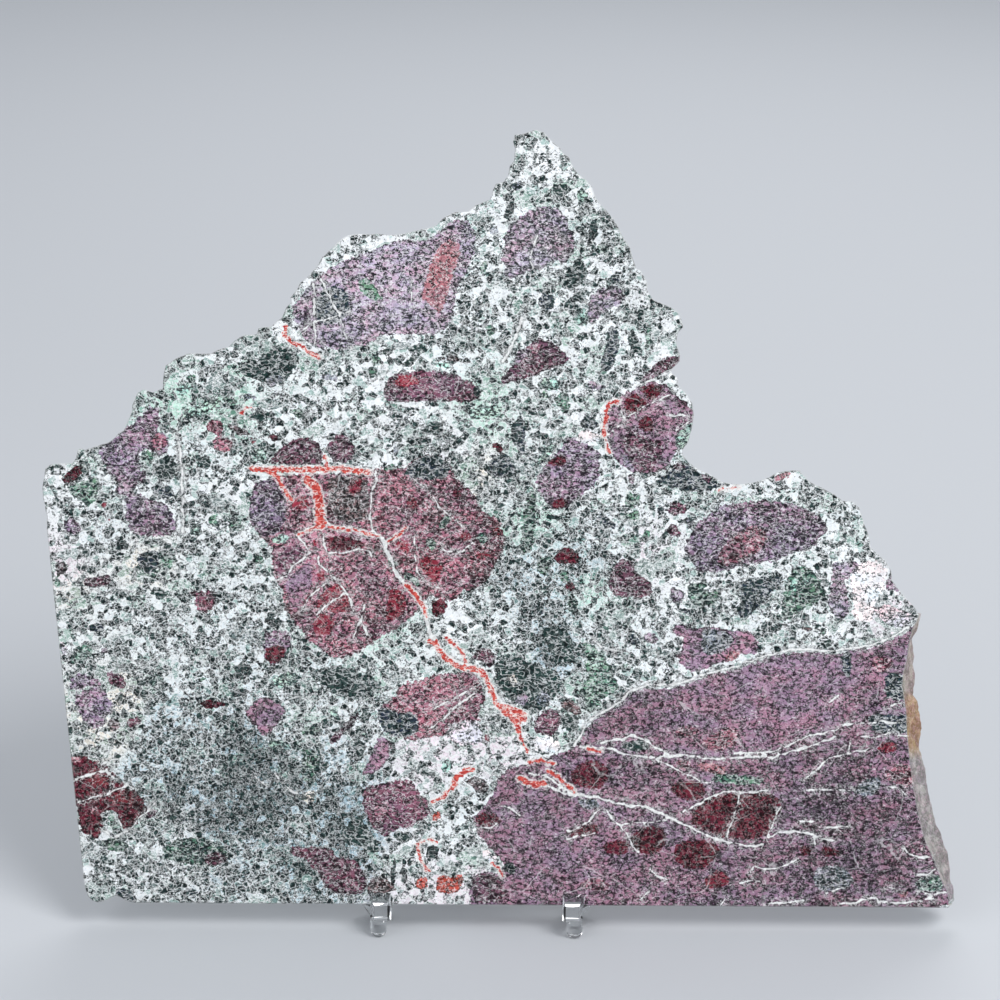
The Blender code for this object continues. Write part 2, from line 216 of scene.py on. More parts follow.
# Places where the stone is lighter or darker over all: centre, radius and change
SHADES = [
    (-90, 13, 22, -0.25), (-75, 38, 16, -0.28), (-60, 103, 9, 0.3), (-36, 187, 16, 0.2), (-21, 156, 10, 0.15),
    (0, 127, 10, -0.32), (2, 104, 10, -0.32), (11, 86, 9, -0.3), (66, 91, 10, -0.28), (-21, 61, 10, 0.2),
    (-30, 31, 10, 0.32), (112, 14, 26, -0.22), (95, 40, 18, -0.12), (60, 10, 20, -0.08), (75, 60, 16, 0.1),
    (-22, 139, 8, -0.3), (29, 197, 10, -0.3), (41, 182, 8, -0.2), (18, 68, 7, 0.25), (-61, 157, 10, 0.2),
    (-91, 151, 10, 0.15), (-12, 46, 8, 0.2), (-123, 61, 8, 0.2), (90, 62, 12, 0.15), (42, 43, 8, -0.2),
    (-18, 118, 8, -0.15), (-21, 156, 7, 0.2),
]

# Large fragments, each an outline on the polished face
CLASTS = [
    ("mauve", (0, 39.5, 4, 41, 8, 42.5, 12, 44, 16, 45, 20, 46.8, 23, 48.5, 24, 50.5, 26, 54, 29, 56.5,
        32, 58.5, 36, 61, 38.5, 63.5, 42, 65.2, 47, 65.8, 51, 65, 55, 66.5, 59, 68, 63, 69.8, 70, 71,
        76, 73.5, 82, 75.5, 89, 76.5, 95, 76.5, 100, 76, 104, 77, 110, 77.8, 114, 79, 118, 81, 121, 82.5,
        124, 85, 132, 84, 145, 40, 145, -5, -9, -5, -9, 8, -5, 9.8, -1, 9.5, 1, 11, 0.5, 13, -2.5, 16.5,
        -4.5, 18.5, -6.5, 21, -7.5, 24, -9, 26.2, -6, 28, -4, 31, -2, 34, -1, 37)),
    ("rose", (-75.5, 124, -73, 127, -66, 128.5, -60, 129.3, -50, 129.5, -42, 129.3, -38.5, 130.5, -30, 131,
        -27, 133.5, -24, 134.8, -19, 135, -16, 132.5, -15, 129.5, -13, 127, -10, 125, -8, 122, -6.5, 118.5,
        -4, 117.3, -1.5, 116, 0, 113, 0.8, 110, 0, 106.5, -1, 103.5, -2.5, 101, -4, 98.5, -6, 95.8, -8.5, 95,
        -11.5, 94.5, -14, 91.5, -17.5, 91, -19.5, 92.5, -22, 93, -25, 88, -29, 84.5, -33, 82, -37, 80,
        -41, 77, -44, 75, -50, 73.5, -54, 76, -58, 79, -60, 82, -63.5, 86, -65, 89, -66, 94, -68.5, 98,
        -69, 103, -69, 107, -72, 110, -75, 112.5, -76, 118)),
    ("purple", (-121.5, 136, -118, 138.6, -115, 141, -112, 143.2, -109.8, 144.8, -108, 147, -105, 149.3,
        -103.2, 148, -103, 144.5, -104, 141.2, -101.5, 140.5, -100.2, 139, -100.6, 135.6, -102.5, 133.8,
        -105, 135.5, -107.5, 136.4, -109.5, 134, -109, 130.5, -106.5, 129, -107, 126.5, -110, 125.8,
        -112, 122.5, -114.5, 122, -116.3, 124, -115.3, 127, -118, 129.5, -120.3, 132)),
    ("purple", (-113.5, 120.5, -113, 116.5, -111.5, 112, -109.5, 110.3, -104, 110, -100, 110.3, -97.6, 111.5,
        -98.3, 115, -99.3, 118.2, -101.5, 119.8, -105, 120.3, -108, 122.3, -111, 123.2)),
    ("pine", (-79.5, 160.5, -77, 163.5, -74, 163, -70.5, 166, -67.5, 168.5, -63.5, 166, -61, 164.5,
        -62.3, 161.5, -63.5, 159, -66, 156.5, -70, 154.8, -73, 157, -77, 157.5)),
    ("lilac", (-64, 178.5, -62.5, 174.5, -60.5, 170, -56.5, 167.3, -50, 166.5, -45, 167, -41, 168, -37, 170.3,
        -31, 171.3, -25, 171, -20, 171.5, -16, 174, -15, 179, -14, 185, -11, 190, -9, 195, -8.5, 201,
        -10.5, 205.5, -15.5, 205.5, -19, 202, -25, 199, -31, 199.8, -36, 198, -40, 195.5, -46, 194,
        -51, 191.5, -55, 188.5, -58.5, 185.5, -61, 182)),
    ("lilac", (0, 200.5, 1.5, 203.5, 4, 206, 7, 208, 11, 209.7, 15.5, 209.7, 18.5, 206.5, 20.3, 202,
        21.5, 199, 20.5, 195.5, 18, 192.5, 14.5, 194, 12, 191, 8, 190.7, 5.5, 189.3, 2.5, 188, 0.3, 189,
        0.3, 192, -1, 194, 0.2, 197)),
    ("maroon", (-71, 131.8, -68.8, 134.5, -65.5, 137.8, -61, 140, -57.5, 139.8, -54.5, 137.5, -53.5, 134,
        -54.5, 131.8, -60, 131.3, -66, 132)),
    ("maroon", (-53, 135.5, -52, 139, -49, 141, -46, 139.5, -44, 136, -46, 132.5, -50, 132)),
    ("maroon", (-36, 153, -35, 157, -32, 159.5, -27, 160, -22, 160.3, -16, 159.5, -12, 158, -8, 156, -6, 154,
        -7.5, 151.5, -12, 150.7, -16, 151, -20, 151.5, -26, 151, -31, 150.7, -35, 151.5)),
    ("maroon", (-1, 156.5, 1, 160, 4, 163.5, 7, 167.5, 10, 170.5, 13, 170, 16, 167.5, 20, 165, 19, 162.5,
        14, 161, 10, 159, 6, 157.8, 2, 157)),
    ("lilac", (25, 179.5, 26, 183, 29, 185.5, 33.5, 186, 36, 184.5, 36.3, 181.5, 33, 179.5, 30, 178,
        28, 175.5, 25.5, 175.3)),
    ("mauve", (31, 149, 34, 152, 38, 154.5, 43, 157, 48, 157, 52, 153.5, 56.5, 149.5, 60, 146, 58, 141.5,
        52.5, 139.5, 52, 136.5, 49.5, 132, 45, 129.8, 40, 130, 36, 131.5, 33.5, 134.5, 31.5, 138, 30, 141,
        30.5, 145)),
    ("maroon", (41, 157, 43, 160.5, 46.5, 163.3, 50, 165.3, 56, 165, 54, 162.5, 48.5, 160.5, 45, 158)),
    ("purple", (9.8, 127, 11, 130, 13, 132.5, 16, 135.5, 18, 138.5, 20.5, 141, 24, 140.5, 26, 138, 29.3, 136,
        29.2, 132, 28.8, 129, 27.5, 126, 25, 124, 22.5, 122.5, 21, 121, 18.5, 119, 15, 118.7, 13, 121,
        11, 124)),
    ("purple", (54.8, 106, 55.5, 110.5, 57.5, 114, 61, 116.5, 65, 120, 69, 121.2, 74, 121.5, 80, 122, 86, 121,
        90, 120, 93, 118.5, 96, 116.5, 98, 115.3, 96.5, 112, 95, 110.5, 93.5, 108.5, 91, 107, 87, 106,
        84, 105.2, 81, 103.5, 76, 103, 70, 102, 67, 100.3, 58.5, 100.5, 57, 103.8)),
    ("navy", (47, 128.5, 52, 133, 54.5, 133.5, 58, 130.5, 62, 129, 65, 127.5, 67, 125.8, 62, 125, 55, 124.3,
        50, 126, 47, 127)),
    ("maroon", (33, 101.5, 36, 104, 39.5, 103, 40, 100, 43, 98.5, 45.5, 96, 45, 93.5, 41, 92.5, 36, 92.5,
        33, 94, 31.5, 96)),
    ("mauve", (51, 82.5, 52.5, 84.5, 54.5, 84.8, 56, 83, 60, 84, 64, 84, 68, 83, 70, 82.5, 73, 83, 75, 82.5,
        76.5, 79.5, 77, 76.5, 75, 75.5, 72, 76, 70, 74.5, 67, 73.5, 65, 73.5, 63, 72, 60, 70.3, 57.5, 70.5,
        55, 71.5, 53, 73, 53, 76, 54.5, 78.5, 54.5, 80.5, 53, 81, 51.5, 81.5)),
    ("green", (25, 79.5, 27.5, 78.5, 30, 76, 32.5, 72, 34, 68, 35.8, 64.5, 34, 63.8, 31, 62.5, 29, 60,
        27, 57.3, 25, 58.5, 25, 62, 23, 64, 24, 66, 26, 69, 25, 72, 25.5, 75, 24, 77)),
    ("pine", (12, 83.5, 16, 84.2, 19.5, 82.3, 21, 79.5, 21.5, 76, 23, 73.5, 20, 72, 17, 72, 15, 75, 13.5, 78,
        11.5, 80)),
    ("navy", (71, 97.5, 76, 99, 80, 99.3, 84, 99, 84, 97, 82, 95.5, 80, 93, 78, 90.5, 75, 88, 72, 86,
        70, 88.5, 71.5, 92)),
    ("green", (86, 98, 87, 101.5, 90, 102.5, 93, 101.5, 95, 98.5, 97, 95, 96.5, 93, 93, 91, 90, 89, 87, 87,
        85, 86, 83.5, 88, 84.5, 91, 84.5, 95)),
    ("lilac", (99, 103, 101, 104, 103, 103.5, 105, 104, 107, 103.5, 107, 101.5, 105, 100, 103, 98.5, 103, 96,
        104, 94, 104.5, 91, 104, 88, 102.5, 86.5, 100, 87, 98.5, 89, 98, 92, 98.5, 95, 99, 98, 99, 101)),
    ("pine", (-2, 73, 0, 74.5, 2, 75.5, 5, 74, 8, 73, 11, 72.5, 13, 71, 16, 71, 17, 69, 18.5, 67.5, 17.5, 65,
        16.5, 63, 14, 61.5, 13.5, 59, 11, 57.5, 8.5, 57, 7, 59, 4, 61, 2, 62, 0.5, 64, -1.5, 66, -2.5, 69)),
    ("rose", (-37, 59, -33, 61, -31, 64, -30, 66.5, -26, 67, -22, 68, -19, 69.5, -14, 69.5, -10, 70.3,
        -7.5, 69, -6, 66.5, -5, 64, -5, 61, -6.5, 59, -7, 56.5, -6, 54.8, -9, 55.3, -12, 55, -15, 54.5,
        -16.5, 52, -17.5, 50.5, -20, 50.2, -24, 50, -28, 49.5, -33, 50.5, -35.5, 52.5, -37, 55.5)),
    ("maroon", (10.5, 56, 12, 58, 15, 59, 17.5, 58.5, 18, 56, 17, 53, 15.5, 51, 12, 51.2, 10, 52, 10, 54)),
    ("maroon", (-41, 35, -38, 35.5, -34.5, 36.5, -32, 37, -30, 38, -27, 37, -25.5, 35, -23.5, 33, -21.5, 30,
        -21, 27, -24, 25, -28, 23, -31, 22.5, -34, 20.5, -37, 21.5, -39, 24, -40.5, 27, -41.5, 31)),
    ("maroon", (-64, 16, -62, 17.5, -58, 17, -55, 17.5, -50, 16.5, -49, 14, -45, 14, -42, 12, -41, 9.5,
        -40, 7, -41, 3.5, -44, 2.8, -48, 2.5, -52, 4.5, -54, 7, -54.5, 9.5, -57.5, 11.5, -58, 14, -61, 14)),
    ("mauve", (-77, 57.5, -75, 59.5, -72.5, 61.5, -70, 62, -67.5, 60.5, -65, 59, -65.5, 56.5, -66.5, 54.5,
        -68, 53, -69, 51, -71, 50.3, -73, 52, -74.5, 54, -76, 55.5)),
    ("purple", (-71.5, 81.5, -68, 82, -64, 82, -63, 79.5, -63.5, 77.5, -65, 75, -66, 72.5, -68.5, 71.5,
        -70.5, 73, -71.5, 76)),
    ("pine", (-57, 69, -54, 70.5, -50, 71.5, -45, 70.5, -41, 69, -37, 67.5, -36, 66, -38, 64, -41, 62.5,
        -45, 61.8, -49, 62.5, -52, 64.5, -54.5, 66.5)),
    ("maroon", (-94, 93, -92, 94, -90, 93.5, -87, 94.5, -85.8, 92, -86, 89.5, -88, 87.5, -90, 87, -92, 88.5,
        -92, 91)),
    ("purple", (-128.5, 61, -126, 63.5, -121.5, 64.5, -118.5, 63.5, -117.5, 61, -116, 58.5, -117.5, 57,
        -119, 55.5, -119, 53, -121, 52, -124.5, 53.5, -126.5, 57)),
    ("purple", (-129.5, 66, -128, 68.5, -126, 69, -122, 67.5, -120, 66, -121, 64.5, -125, 64.8, -127, 63.5,
        -129.5, 64)),
    ("wine", (-131, 43.5, -126, 44, -123, 43, -121, 42.5, -118, 40.5, -115, 38, -113.5, 36, -113, 34.5,
        -110, 34, -107.5, 32, -106.5, 29, -106, 27.5, -108.5, 25.5, -109, 23.5, -112, 22, -113.5, 22.5,
        -114.5, 25, -115.5, 27, -118, 28, -120, 27.5, -119.5, 24, -119, 22.5, -120.5, 20, -123, 19.5,
        -125.5, 21, -126.5, 24, -127, 28, -128.5, 31, -130, 36, -131, 40)),
    ("green", (-101, 17, -98, 19, -94, 19.5, -89, 20, -85, 18.5, -82, 17, -81, 14, -84, 11.5, -88, 11,
        -93, 12, -97, 12, -101, 13)),
    ("green", (-60, 46, -58, 47, -55, 45.5, -53.5, 43, -55, 40.5, -55.5, 37, -57.5, 36, -59.5, 38,
        -59.5, 42)),
    ("green", (-131, 125, -126, 126.3, -121.5, 128.2, -120.5, 125, -122, 121.5, -124, 118, -125.7, 119.5,
        -128.5, 121.5)),
    ("green", (-129.5, 73, -128, 76, -125.5, 77.5, -122, 77, -122.5, 75, -124, 73.5, -126, 72, -129, 71.5)),
    ("mauve", (-38.5, 47, -36.5, 50, -33.5, 49.5, -33, 47.5, -34, 44, -35.5, 41.5, -38, 39.5, -42, 38.5,
        -41, 40.5, -39.5, 43)),
    ("pinkish", (-16, 52, -12, 55, -8, 55, -6, 53, -5, 50, -8, 47.5, -13, 48, -16, 50)),
    ("chalk", (107, 103, 110, 104.5, 114, 103, 116, 101, 115, 98, 114.5, 95, 112, 92, 111.5, 88, 110.5, 85,
        107, 86, 105, 88, 105.5, 92, 105, 96, 104, 98.5, 106, 101)),
]

# Small fragments, and the patches inside the large ones
PATCHES = [
    # Left shoulder
    ("rose", (-106, 138, -104, 141, -101, 140, -101, 137, -104, 135.5)),
    ("lilac", (-115, 124, -113.5, 127, -111.5, 126, -111.5, 123.5, -113.5, 122.5)),
    ("wine", (-132.3, 127.3, -130, 130, -126.5, 131.6, -125.8, 130, -127, 127.7, -129.5, 126, -131.5, 125.8)),
    ("green", (-109, 135, -106.5, 136.3, -104.5, 134.6, -105.5, 132, -107.8, 131.8)),
    ("pine", (-105.5, 131.5, -102, 133.5, -99.5, 135, -98, 132, -98.3, 128.5, -100, 126, -103, 126.8,
        -105, 128.8)),
    ("navy", (-106, 124.5, -103, 126, -100, 125.3, -98, 123, -100.5, 121.2, -104, 122)),
    ("purple", (-131.8, 114, -129.5, 115.8, -127, 113.5, -126, 111.5, -128.5, 110.3, -131, 111.5)),
    ("navy", (-109.5, 103.5, -107.5, 105.5, -104, 106.2, -102.5, 104, -103, 100.8, -105.5, 98.7,
        -108.5, 100)),
    ("green", (-102.5, 104.8, -100.3, 104.5, -98.5, 102.5, -99.5, 100, -102, 100.6)),
    ("ink", (-115.8, 109, -113.5, 108.8, -112, 107, -113.5, 105.5, -115.5, 106)),
    ("rose", (-89.5, 143, -87.5, 145.2, -84.5, 144.8, -84, 141.5, -84.5, 139.5, -88, 141.5)),
    ("mint", (-94.5, 112.5, -92, 114.2, -90, 113, -90.5, 110.5, -93, 110.3)),
    ("pine", (-91.3, 133.5, -89, 135, -87.5, 133, -88, 130.3, -90.5, 130)),
    ("green", (-88.5, 115.5, -86, 117.5, -85, 114, -87, 112.5)),
    ("crimson", (-120.5, 119.5, -119.3, 120.3, -118.7, 119, -119.8, 118.5)),
    ("crimson", (-119.3, 115, -118.3, 115.8, -117.7, 114.8, -118.7, 114.3)),
    ("mint", (-97, 146, -94, 149, -88, 151, -84, 152, -85, 149.5, -89, 147, -94, 145.5)),
    ("grey", (-72, 156, -70, 158.3, -66, 158.5, -65.5, 156.8, -69, 155)),
    ("green", (-95.5, 157, -94, 158.8, -92, 158, -92.8, 156.5, -95, 156.3)),
    ("mint", (-98.5, 153.5, -96.5, 155.8, -94, 155.5, -94.5, 153, -97, 152)),
    ("pine", (-77, 145.6, -74.5, 147.8, -70, 147.9, -67.5, 147, -69, 145.6, -73, 145)),
    ("green", (-64.5, 148, -60.5, 149, -59.5, 146.5, -59.3, 145, -62, 146)),
    ("wine", (-71, 140.5, -68, 140.6, -67, 139.3, -69.5, 138.8)),
    ("brown", (-82.8, 144.5, -80.5, 143.5, -76.5, 142, -75.5, 140.3, -79, 140.5, -82, 141.8)),
    ("rose", (-87, 139.5, -84, 140, -81, 139, -81.5, 136, -84, 135.3, -87, 137)),
    ("crimson", (-76, 138.8, -75, 139.8, -74, 138.8, -75, 138)),
    ("grey", (-56, 157.5, -54.5, 159, -50.5, 158.8, -48, 156.8, -52, 157)),
    ("mint", (-75, 136, -72, 137, -70.5, 135, -71.5, 132.3, -74.5, 132.5)),
    ("grey", (-78.5, 152, -76, 153, -74, 152, -75, 150.8)),
    ("green", (-86, 151.5, -82, 152, -78, 150.2, -82, 150)),
    # Main slope
    ("coral", (-25, 182, -23.5, 187, -22, 192, -20, 197, -16, 200, -13, 198, -14, 193, -16, 187, -17, 182,
        -19, 177, -22, 180)),
    ("purple", (-59, 183, -56, 185, -54.5, 180, -55, 172, -57, 168.5, -59, 171, -60, 177)),
    ("green", (-43.5, 187, -41.5, 188.5, -38, 184.5, -36, 181.5, -39, 181, -43, 184)),
    ("ink", (-29.5, 185, -28.5, 186, -27.5, 184.5, -28.5, 183.5)),
    ("ink", (-55, 186, -54, 187, -53, 185.3, -54, 184.5)),
    ("navy", (-58, 180, -52, 186, -47, 184, -46, 178, -50, 174, -56, 174)),
    ("pine", (-39, 165.3, -36, 166.5, -33.5, 166.8, -32.5, 165.5, -36, 165)),
    ("pine", (-29.5, 166, -26, 168.3, -23, 168, -22.8, 166, -26.5, 165.2)),
    ("pine", (-30.5, 161.5, -28, 164.5, -24.5, 165.8, -26, 163, -29, 161)),
    ("green", (-40, 164.5, -37.5, 165, -36.5, 162.5, -38.5, 162)),
    ("green", (-40.5, 161, -38.5, 161.3, -38, 158.5, -40, 158)),
    ("ink", (-35.5, 164.5, -33, 164, -32.5, 162, -34.5, 161.5)),
    ("brown", (-18.5, 163.8, -16.5, 165.3, -14, 164.8, -13, 163.2, -16, 163)),
    ("mint", (-21, 161.5, -18, 163, -15, 162, -17, 160.8)),
    ("pine", (-18.8, 167.5, -17.8, 168.3, -17, 167.3, -18, 166.7)),
    # Peak
    ("pine", (17.5, 187, 19, 190.5, 21, 193, 23.5, 193.8, 25.3, 190, 23.5, 186.5, 20.5, 184.8, 18, 184.8)),
    ("pine", (18.8, 181, 21, 183.5, 24.3, 184.7, 24, 183, 21.5, 180.5, 19.5, 180)),
    ("green", (28, 198, 29.5, 199.5, 31.8, 196, 29.5, 195, 27.8, 196)),
    ("mint", (33.5, 194, 35, 197, 37, 195.8, 35, 195)),
    ("pine", (14, 216, 17, 216.5, 20.5, 215.5, 19, 213.5, 15.5, 213, 14.5, 214.5)),
    ("mint", (21.5, 214, 23, 215.3, 25.5, 213.5, 24, 210.5, 22.5, 211)),
    ("grey", (2, 216.5, 4, 217.5, 6.3, 216, 4.5, 214.2, 3, 214.8)),
    ("ink", (-0.5, 206.3, 0.5, 209, 2.5, 211.3, 3.5, 210.5, 2.5, 208, 1, 206)),
    ("ink", (25.5, 204, 27, 206, 28, 204, 28.3, 201, 26.5, 200, 25.3, 201.5)),
    ("grey", (-4.5, 203, -2.5, 204, -1.5, 202, -3.5, 201)),
    ("green", (-7.5, 190, -6.5, 193.5, -5, 193, -5.8, 188.5)),
    ("ink", (-6, 186.5, -4, 189.5, -3, 188.5, -4, 186)),
    ("navy", (10, 181.5, 12, 184, 15, 183, 15.5, 180, 13, 177.5, 11, 179)),
    ("navy", (31, 187.5, 32.5, 189.3, 35, 189, 35.3, 187, 32.5, 186.8)),
    ("pinkish", (10.5, 205, 12, 206.5, 13.8, 205, 12, 203.5)),
    ("pinkish", (10.5, 196.5, 11.8, 198, 13, 196.5, 11.5, 195)),
    # Right shoulder
    ("mint", (21.5, 177.5, 24, 180.5, 25.5, 176, 25, 173.5, 22, 173.5)),
    ("navy", (31, 172.5, 32.5, 174.3, 34.5, 172, 34.8, 167, 33, 162.5, 31, 160, 28.8, 161.3, 29.8, 165.5,
        31, 168)),
    ("pine", (37, 170, 38.5, 174, 39.5, 172, 41, 168.5, 42.3, 165.2, 40.5, 165, 38, 167.3)),
    ("green", (43, 174, 44.5, 175.5, 44, 171, 44.3, 167.5, 43, 167.2, 42.6, 170)),
    ("pine", (21, 171, 24, 172, 26, 170.3, 23.5, 169.5)),
    ("grey", (20.5, 168.3, 22.5, 168.5, 23.5, 167, 22, 166)),
    ("wine", (40.5, 155.3, 44, 156.5, 48, 156, 47, 153.5, 45, 151.5, 42.5, 153)),
    ("wine", (36.3, 151.5, 38.5, 154, 41, 153.5, 43.5, 151, 42, 149, 39, 147.3, 36.8, 148)),
    ("wine", (40, 145, 43, 147.5, 45, 146, 45.3, 143, 43.5, 142, 41, 143.5)),
    ("maroon", (36, 138, 36.3, 140.5, 38, 143, 40.5, 142.5, 44, 140.3, 47.5, 139.5, 48.3, 136.5, 46.5, 133,
        44.5, 130.5, 41, 130.3, 38.3, 133, 36, 136)),
    ("lilac", (35.5, 134.5, 37, 131.8, 39.5, 130.5, 38, 133.5, 37, 136)),
    ("mint", (51.5, 140, 53.5, 143.5, 58, 146, 58, 141, 55, 137, 52.5, 137.5)),
    ("navy", (23, 145, 25, 148, 27.5, 146, 29, 143.8, 26, 142.7, 23.3, 143.3)),
    ("chalk", (21, 139, 24, 143, 28, 142, 30, 140, 27, 138.8)),
    ("lilac", (25, 155.3, 25.8, 158, 28.5, 156.8, 31.5, 155.3, 28, 154.8)),
    # Middle top
    ("crimson", (-33, 156.5, -31, 158.8, -27, 158.8, -25, 156.5, -28, 155.5, -31, 155.3)),
    ("ink", (-9, 155, -7.5, 156, -6, 154, -7.5, 152.3, -9, 153)),
    ("lilac", (2.5, 163.5, 5, 167, 8, 167, 6, 164, 4, 162)),
    ("rose", (8, 166, 10, 169, 12, 167.5, 10.5, 165.5)),
    ("ink", (0, 162, 1, 165, 1.8, 163)),
    ("ink", (2.8, 166.5, 5, 168.7, 5, 167.3, 3.5, 166)),
    ("green", (-5.5, 173.5, -3.5, 174.5, -2.5, 172, -3.5, 170.5, -5, 171.5)),
    ("navy", (-9, 180, -7.5, 181.5, -6, 178.5, -7.5, 175.5, -8.5, 177)),
    ("mint", (10, 156.5, 12.5, 158.5, 16.5, 158, 17.5, 155.5, 14.5, 154.5, 11.5, 155)),
    ("green", (15, 152, 17.5, 154, 20, 153, 20, 150, 19.5, 147.3, 17, 149, 15.5, 151)),
    ("green", (10.5, 154, 13, 154, 14, 152, 12, 152.3)),
    ("pine", (4.5, 149.3, 8, 149.7, 10.5, 148, 11.3, 146, 9, 146.8, 7, 148.3)),
    ("navy", (5.3, 147, 6.5, 145, 6.8, 140, 6.5, 135, 5, 134.5, 4.5, 137.5, 2.3, 139.5, 2.2, 142.5,
        3.5, 145.5)),
    ("mint", (-10.5, 147, -8.5, 149.5, -5, 150, 0, 149.5, -1, 147.5, -5, 146, -9, 145.5)),
    ("pine", (-25.5, 141.5, -23, 143.5, -20.5, 145.5, -18.3, 144.5, -18.3, 141, -22, 140.8)),
    ("ink", (-22.5, 146, -21.5, 148, -21, 147, -22, 145.5)),
    ("green", (-36, 130.3, -34, 132.3, -31, 131.8, -33, 130.2)),
    ("grey", (-33.5, 136, -31.5, 138, -30.8, 136, -31.5, 134)),
    ("wine", (-3.5, 138, -2, 138.8, 0, 137.5, 0, 135.8, -1.5, 135.8)),
    ("navy", (-5, 130, -2, 135, 1, 136, 3, 133, 5, 129.5, 1, 128, -3, 128)),
    ("ink", (-9.5, 131.8, -7.5, 131.3, -6, 130)),
    ("ink", (-9, 135.5, -7, 136, -5.5, 135.3, -7.5, 134.8)),
    ("ink", (-2.5, 142.5, -1, 144, 0.8, 143.5, -1, 142)),
    ("mint", (9, 131, 10.5, 134, 13, 137.5, 16, 139.5, 15.5, 136.5, 13, 134, 11, 132)),
    # Inside the great rose fragment
    ("purple", (-75.5, 124, -73, 127, -69, 127.5, -66.5, 124.5, -64.5, 121, -65, 116, -66.5, 112, -69, 110.3,
        -73, 110.5, -75, 113.5, -76, 118)),
    ("crimson", (-64, 120, -61, 122.5, -58.5, 122, -58, 119, -61.5, 118)),
    ("brown", (-52.5, 127.5, -49, 128.5, -43, 128.5, -40.5, 126, -40, 121, -40.5, 115, -45, 114.5, -50, 115.5,
        -52, 119, -52.5, 123)),
    ("crimson", (-47, 124.5, -44.5, 127.5, -42, 127, -42.5, 124, -45, 123)),
    ("wine", (-52.5, 110.5, -46, 110.3, -42, 108.5, -41, 107, -46, 106, -52, 106)),
    ("crimson", (-57, 108.3, -56, 109.5, -55, 108.3, -56, 107.3)),
    ("maroon", (-68, 104, -63, 108, -60, 107, -58, 104, -62, 101, -65, 97.5, -68, 99)),
    ("mauve", (-65, 96.5, -60, 101.5, -57.5, 103, -57, 97, -58.5, 93, -60.5, 88.5, -64, 88)),
    ("crimson", (-56, 100, -53.5, 99.5, -53, 97, -55.5, 97)),
    ("crimson", (-56.5, 89.5, -53, 94, -49.5, 96.5, -46.5, 93.5, -45.5, 90, -47, 87.5, -52, 87.8)),
    ("crimson", (-57, 82.5, -55, 87, -51.5, 87, -50, 84.5, -51, 81.5, -54.5, 80.5)),
    ("crimson", (-35, 86, -34.5, 90.5, -33.5, 94.5, -31, 94.8, -29, 92.5, -28.8, 88.5, -31, 86, -33.5, 84.8)),
    ("crimson", (-25.5, 103, -22, 104.8, -19, 103, -17.8, 100.5, -18.8, 97.8, -20.3, 96.5, -23, 99)),
    ("crimson", (-29.5, 119.5, -28, 122.5, -25.5, 121.8, -26, 119)),
    ("crimson", (-32.5, 108.5, -29, 109.5, -27.5, 106.5, -28.5, 105)),
    ("crimson", (-13, 109.5, -12, 112, -9, 111.5, -9.5, 109)),
    ("crimson", (-3.5, 111, -2, 114, 0, 112.5, -0.5, 110)),
    ("crimson", (-8.5, 105.5, -4, 106, -3.5, 104.5, -7, 103.5)),
    ("wine", (-15, 123, -13.5, 125.3, -12, 123.5, -13.5, 121.5)),
    ("rose", (-10, 100, -8, 102.5, -4, 102, -3, 99.5, -5.5, 96.3, -8.5, 95.3, -10, 97)),
    ("navy", (-30, 129, -26, 134, -19, 135, -15.5, 131.5, -17, 128, -22, 127.5, -27, 128)),
    ("green", (-19.5, 113.5, -16.5, 117.5, -15, 115.5, -17.5, 113)),
    ("green", (-23.5, 109, -21, 110.8, -19.5, 107.5, -21.5, 106)),
    ("green", (-8, 110.5, -5.5, 112, -4, 109, -6.5, 107.8)),
    ("green", (-30, 99, -28, 99.8, -25, 98, -24.5, 95, -27, 96.5)),
    ("green", (-35, 106, -32.5, 104, -31, 101.5, -33.5, 101)),
    ("wine", (-21.5, 91.5, -18, 91.5, -15.8, 90, -17.5, 87.5, -20.5, 86)),
    ("ink", (-71.5, 85, -69.5, 86.5, -66, 84.8, -66.5, 82.8, -69.5, 83)),
    ("mint", (-69.5, 109.3, -66, 111.2, -63.5, 110.5, -64.5, 108.8, -68, 108)),
    ("green", (-82.5, 113.5, -79.5, 116, -77.5, 114, -79.5, 112, -82, 112)),
    ("green", (-75, 104, -72, 105, -71.5, 102, -74, 102)),
    # Middle right
    ("wine", (13, 133, 17, 135.5, 19.5, 134, 18, 131.5, 14, 132.3)),
    ("wine", (14, 120.5, 16.5, 122.3, 19.5, 121.8, 19.5, 120, 16, 119)),
    ("green", (5, 105, 6, 115, 7.5, 124, 10, 124, 10, 114, 9, 106)),
    ("green", (10.5, 100, 10.5, 104.5, 14.5, 105, 14.5, 101.5, 13, 98.5)),
    ("green", (17, 101, 20.5, 100.5, 20, 97, 17.5, 97)),
    ("wine", (15.5, 104.5, 17.5, 107, 20.5, 107.8, 23.5, 105, 23, 102.2, 19.5, 102.5, 17, 102.2)),
    ("ink", (12.5, 97.5, 13.8, 99.2, 15, 98, 14.3, 96.5)),
    ("wine", (18.5, 96, 20.5, 97.5, 22, 96, 20.5, 94)),
    ("green", (20, 92.5, 22, 93, 23, 90, 21.5, 87.5, 19.5, 89.5)),
    ("navy", (9.5, 89, 11.5, 91, 13.5, 88.5, 11, 86.5)),
    ("ink", (-1.5, 85, 0.5, 85.8, 2.5, 85, 0.5, 84)),
    ("pine", (13, 117.3, 17, 117, 20.5, 115.2, 16, 115.5, 13.5, 116)),
    ("green", (36.5, 121.5, 37.5, 124, 41, 124, 41.5, 121, 39.5, 119.5, 37, 119.8)),
    ("green", (35.5, 116.5, 38, 118.5, 41.5, 118.5, 41, 115.8, 37, 116)),
    ("green", (44, 118.3, 45.5, 120, 46, 118.3)),
    ("green", (42, 110.8, 43.5, 113.3, 44.8, 112.3, 44, 110.5)),
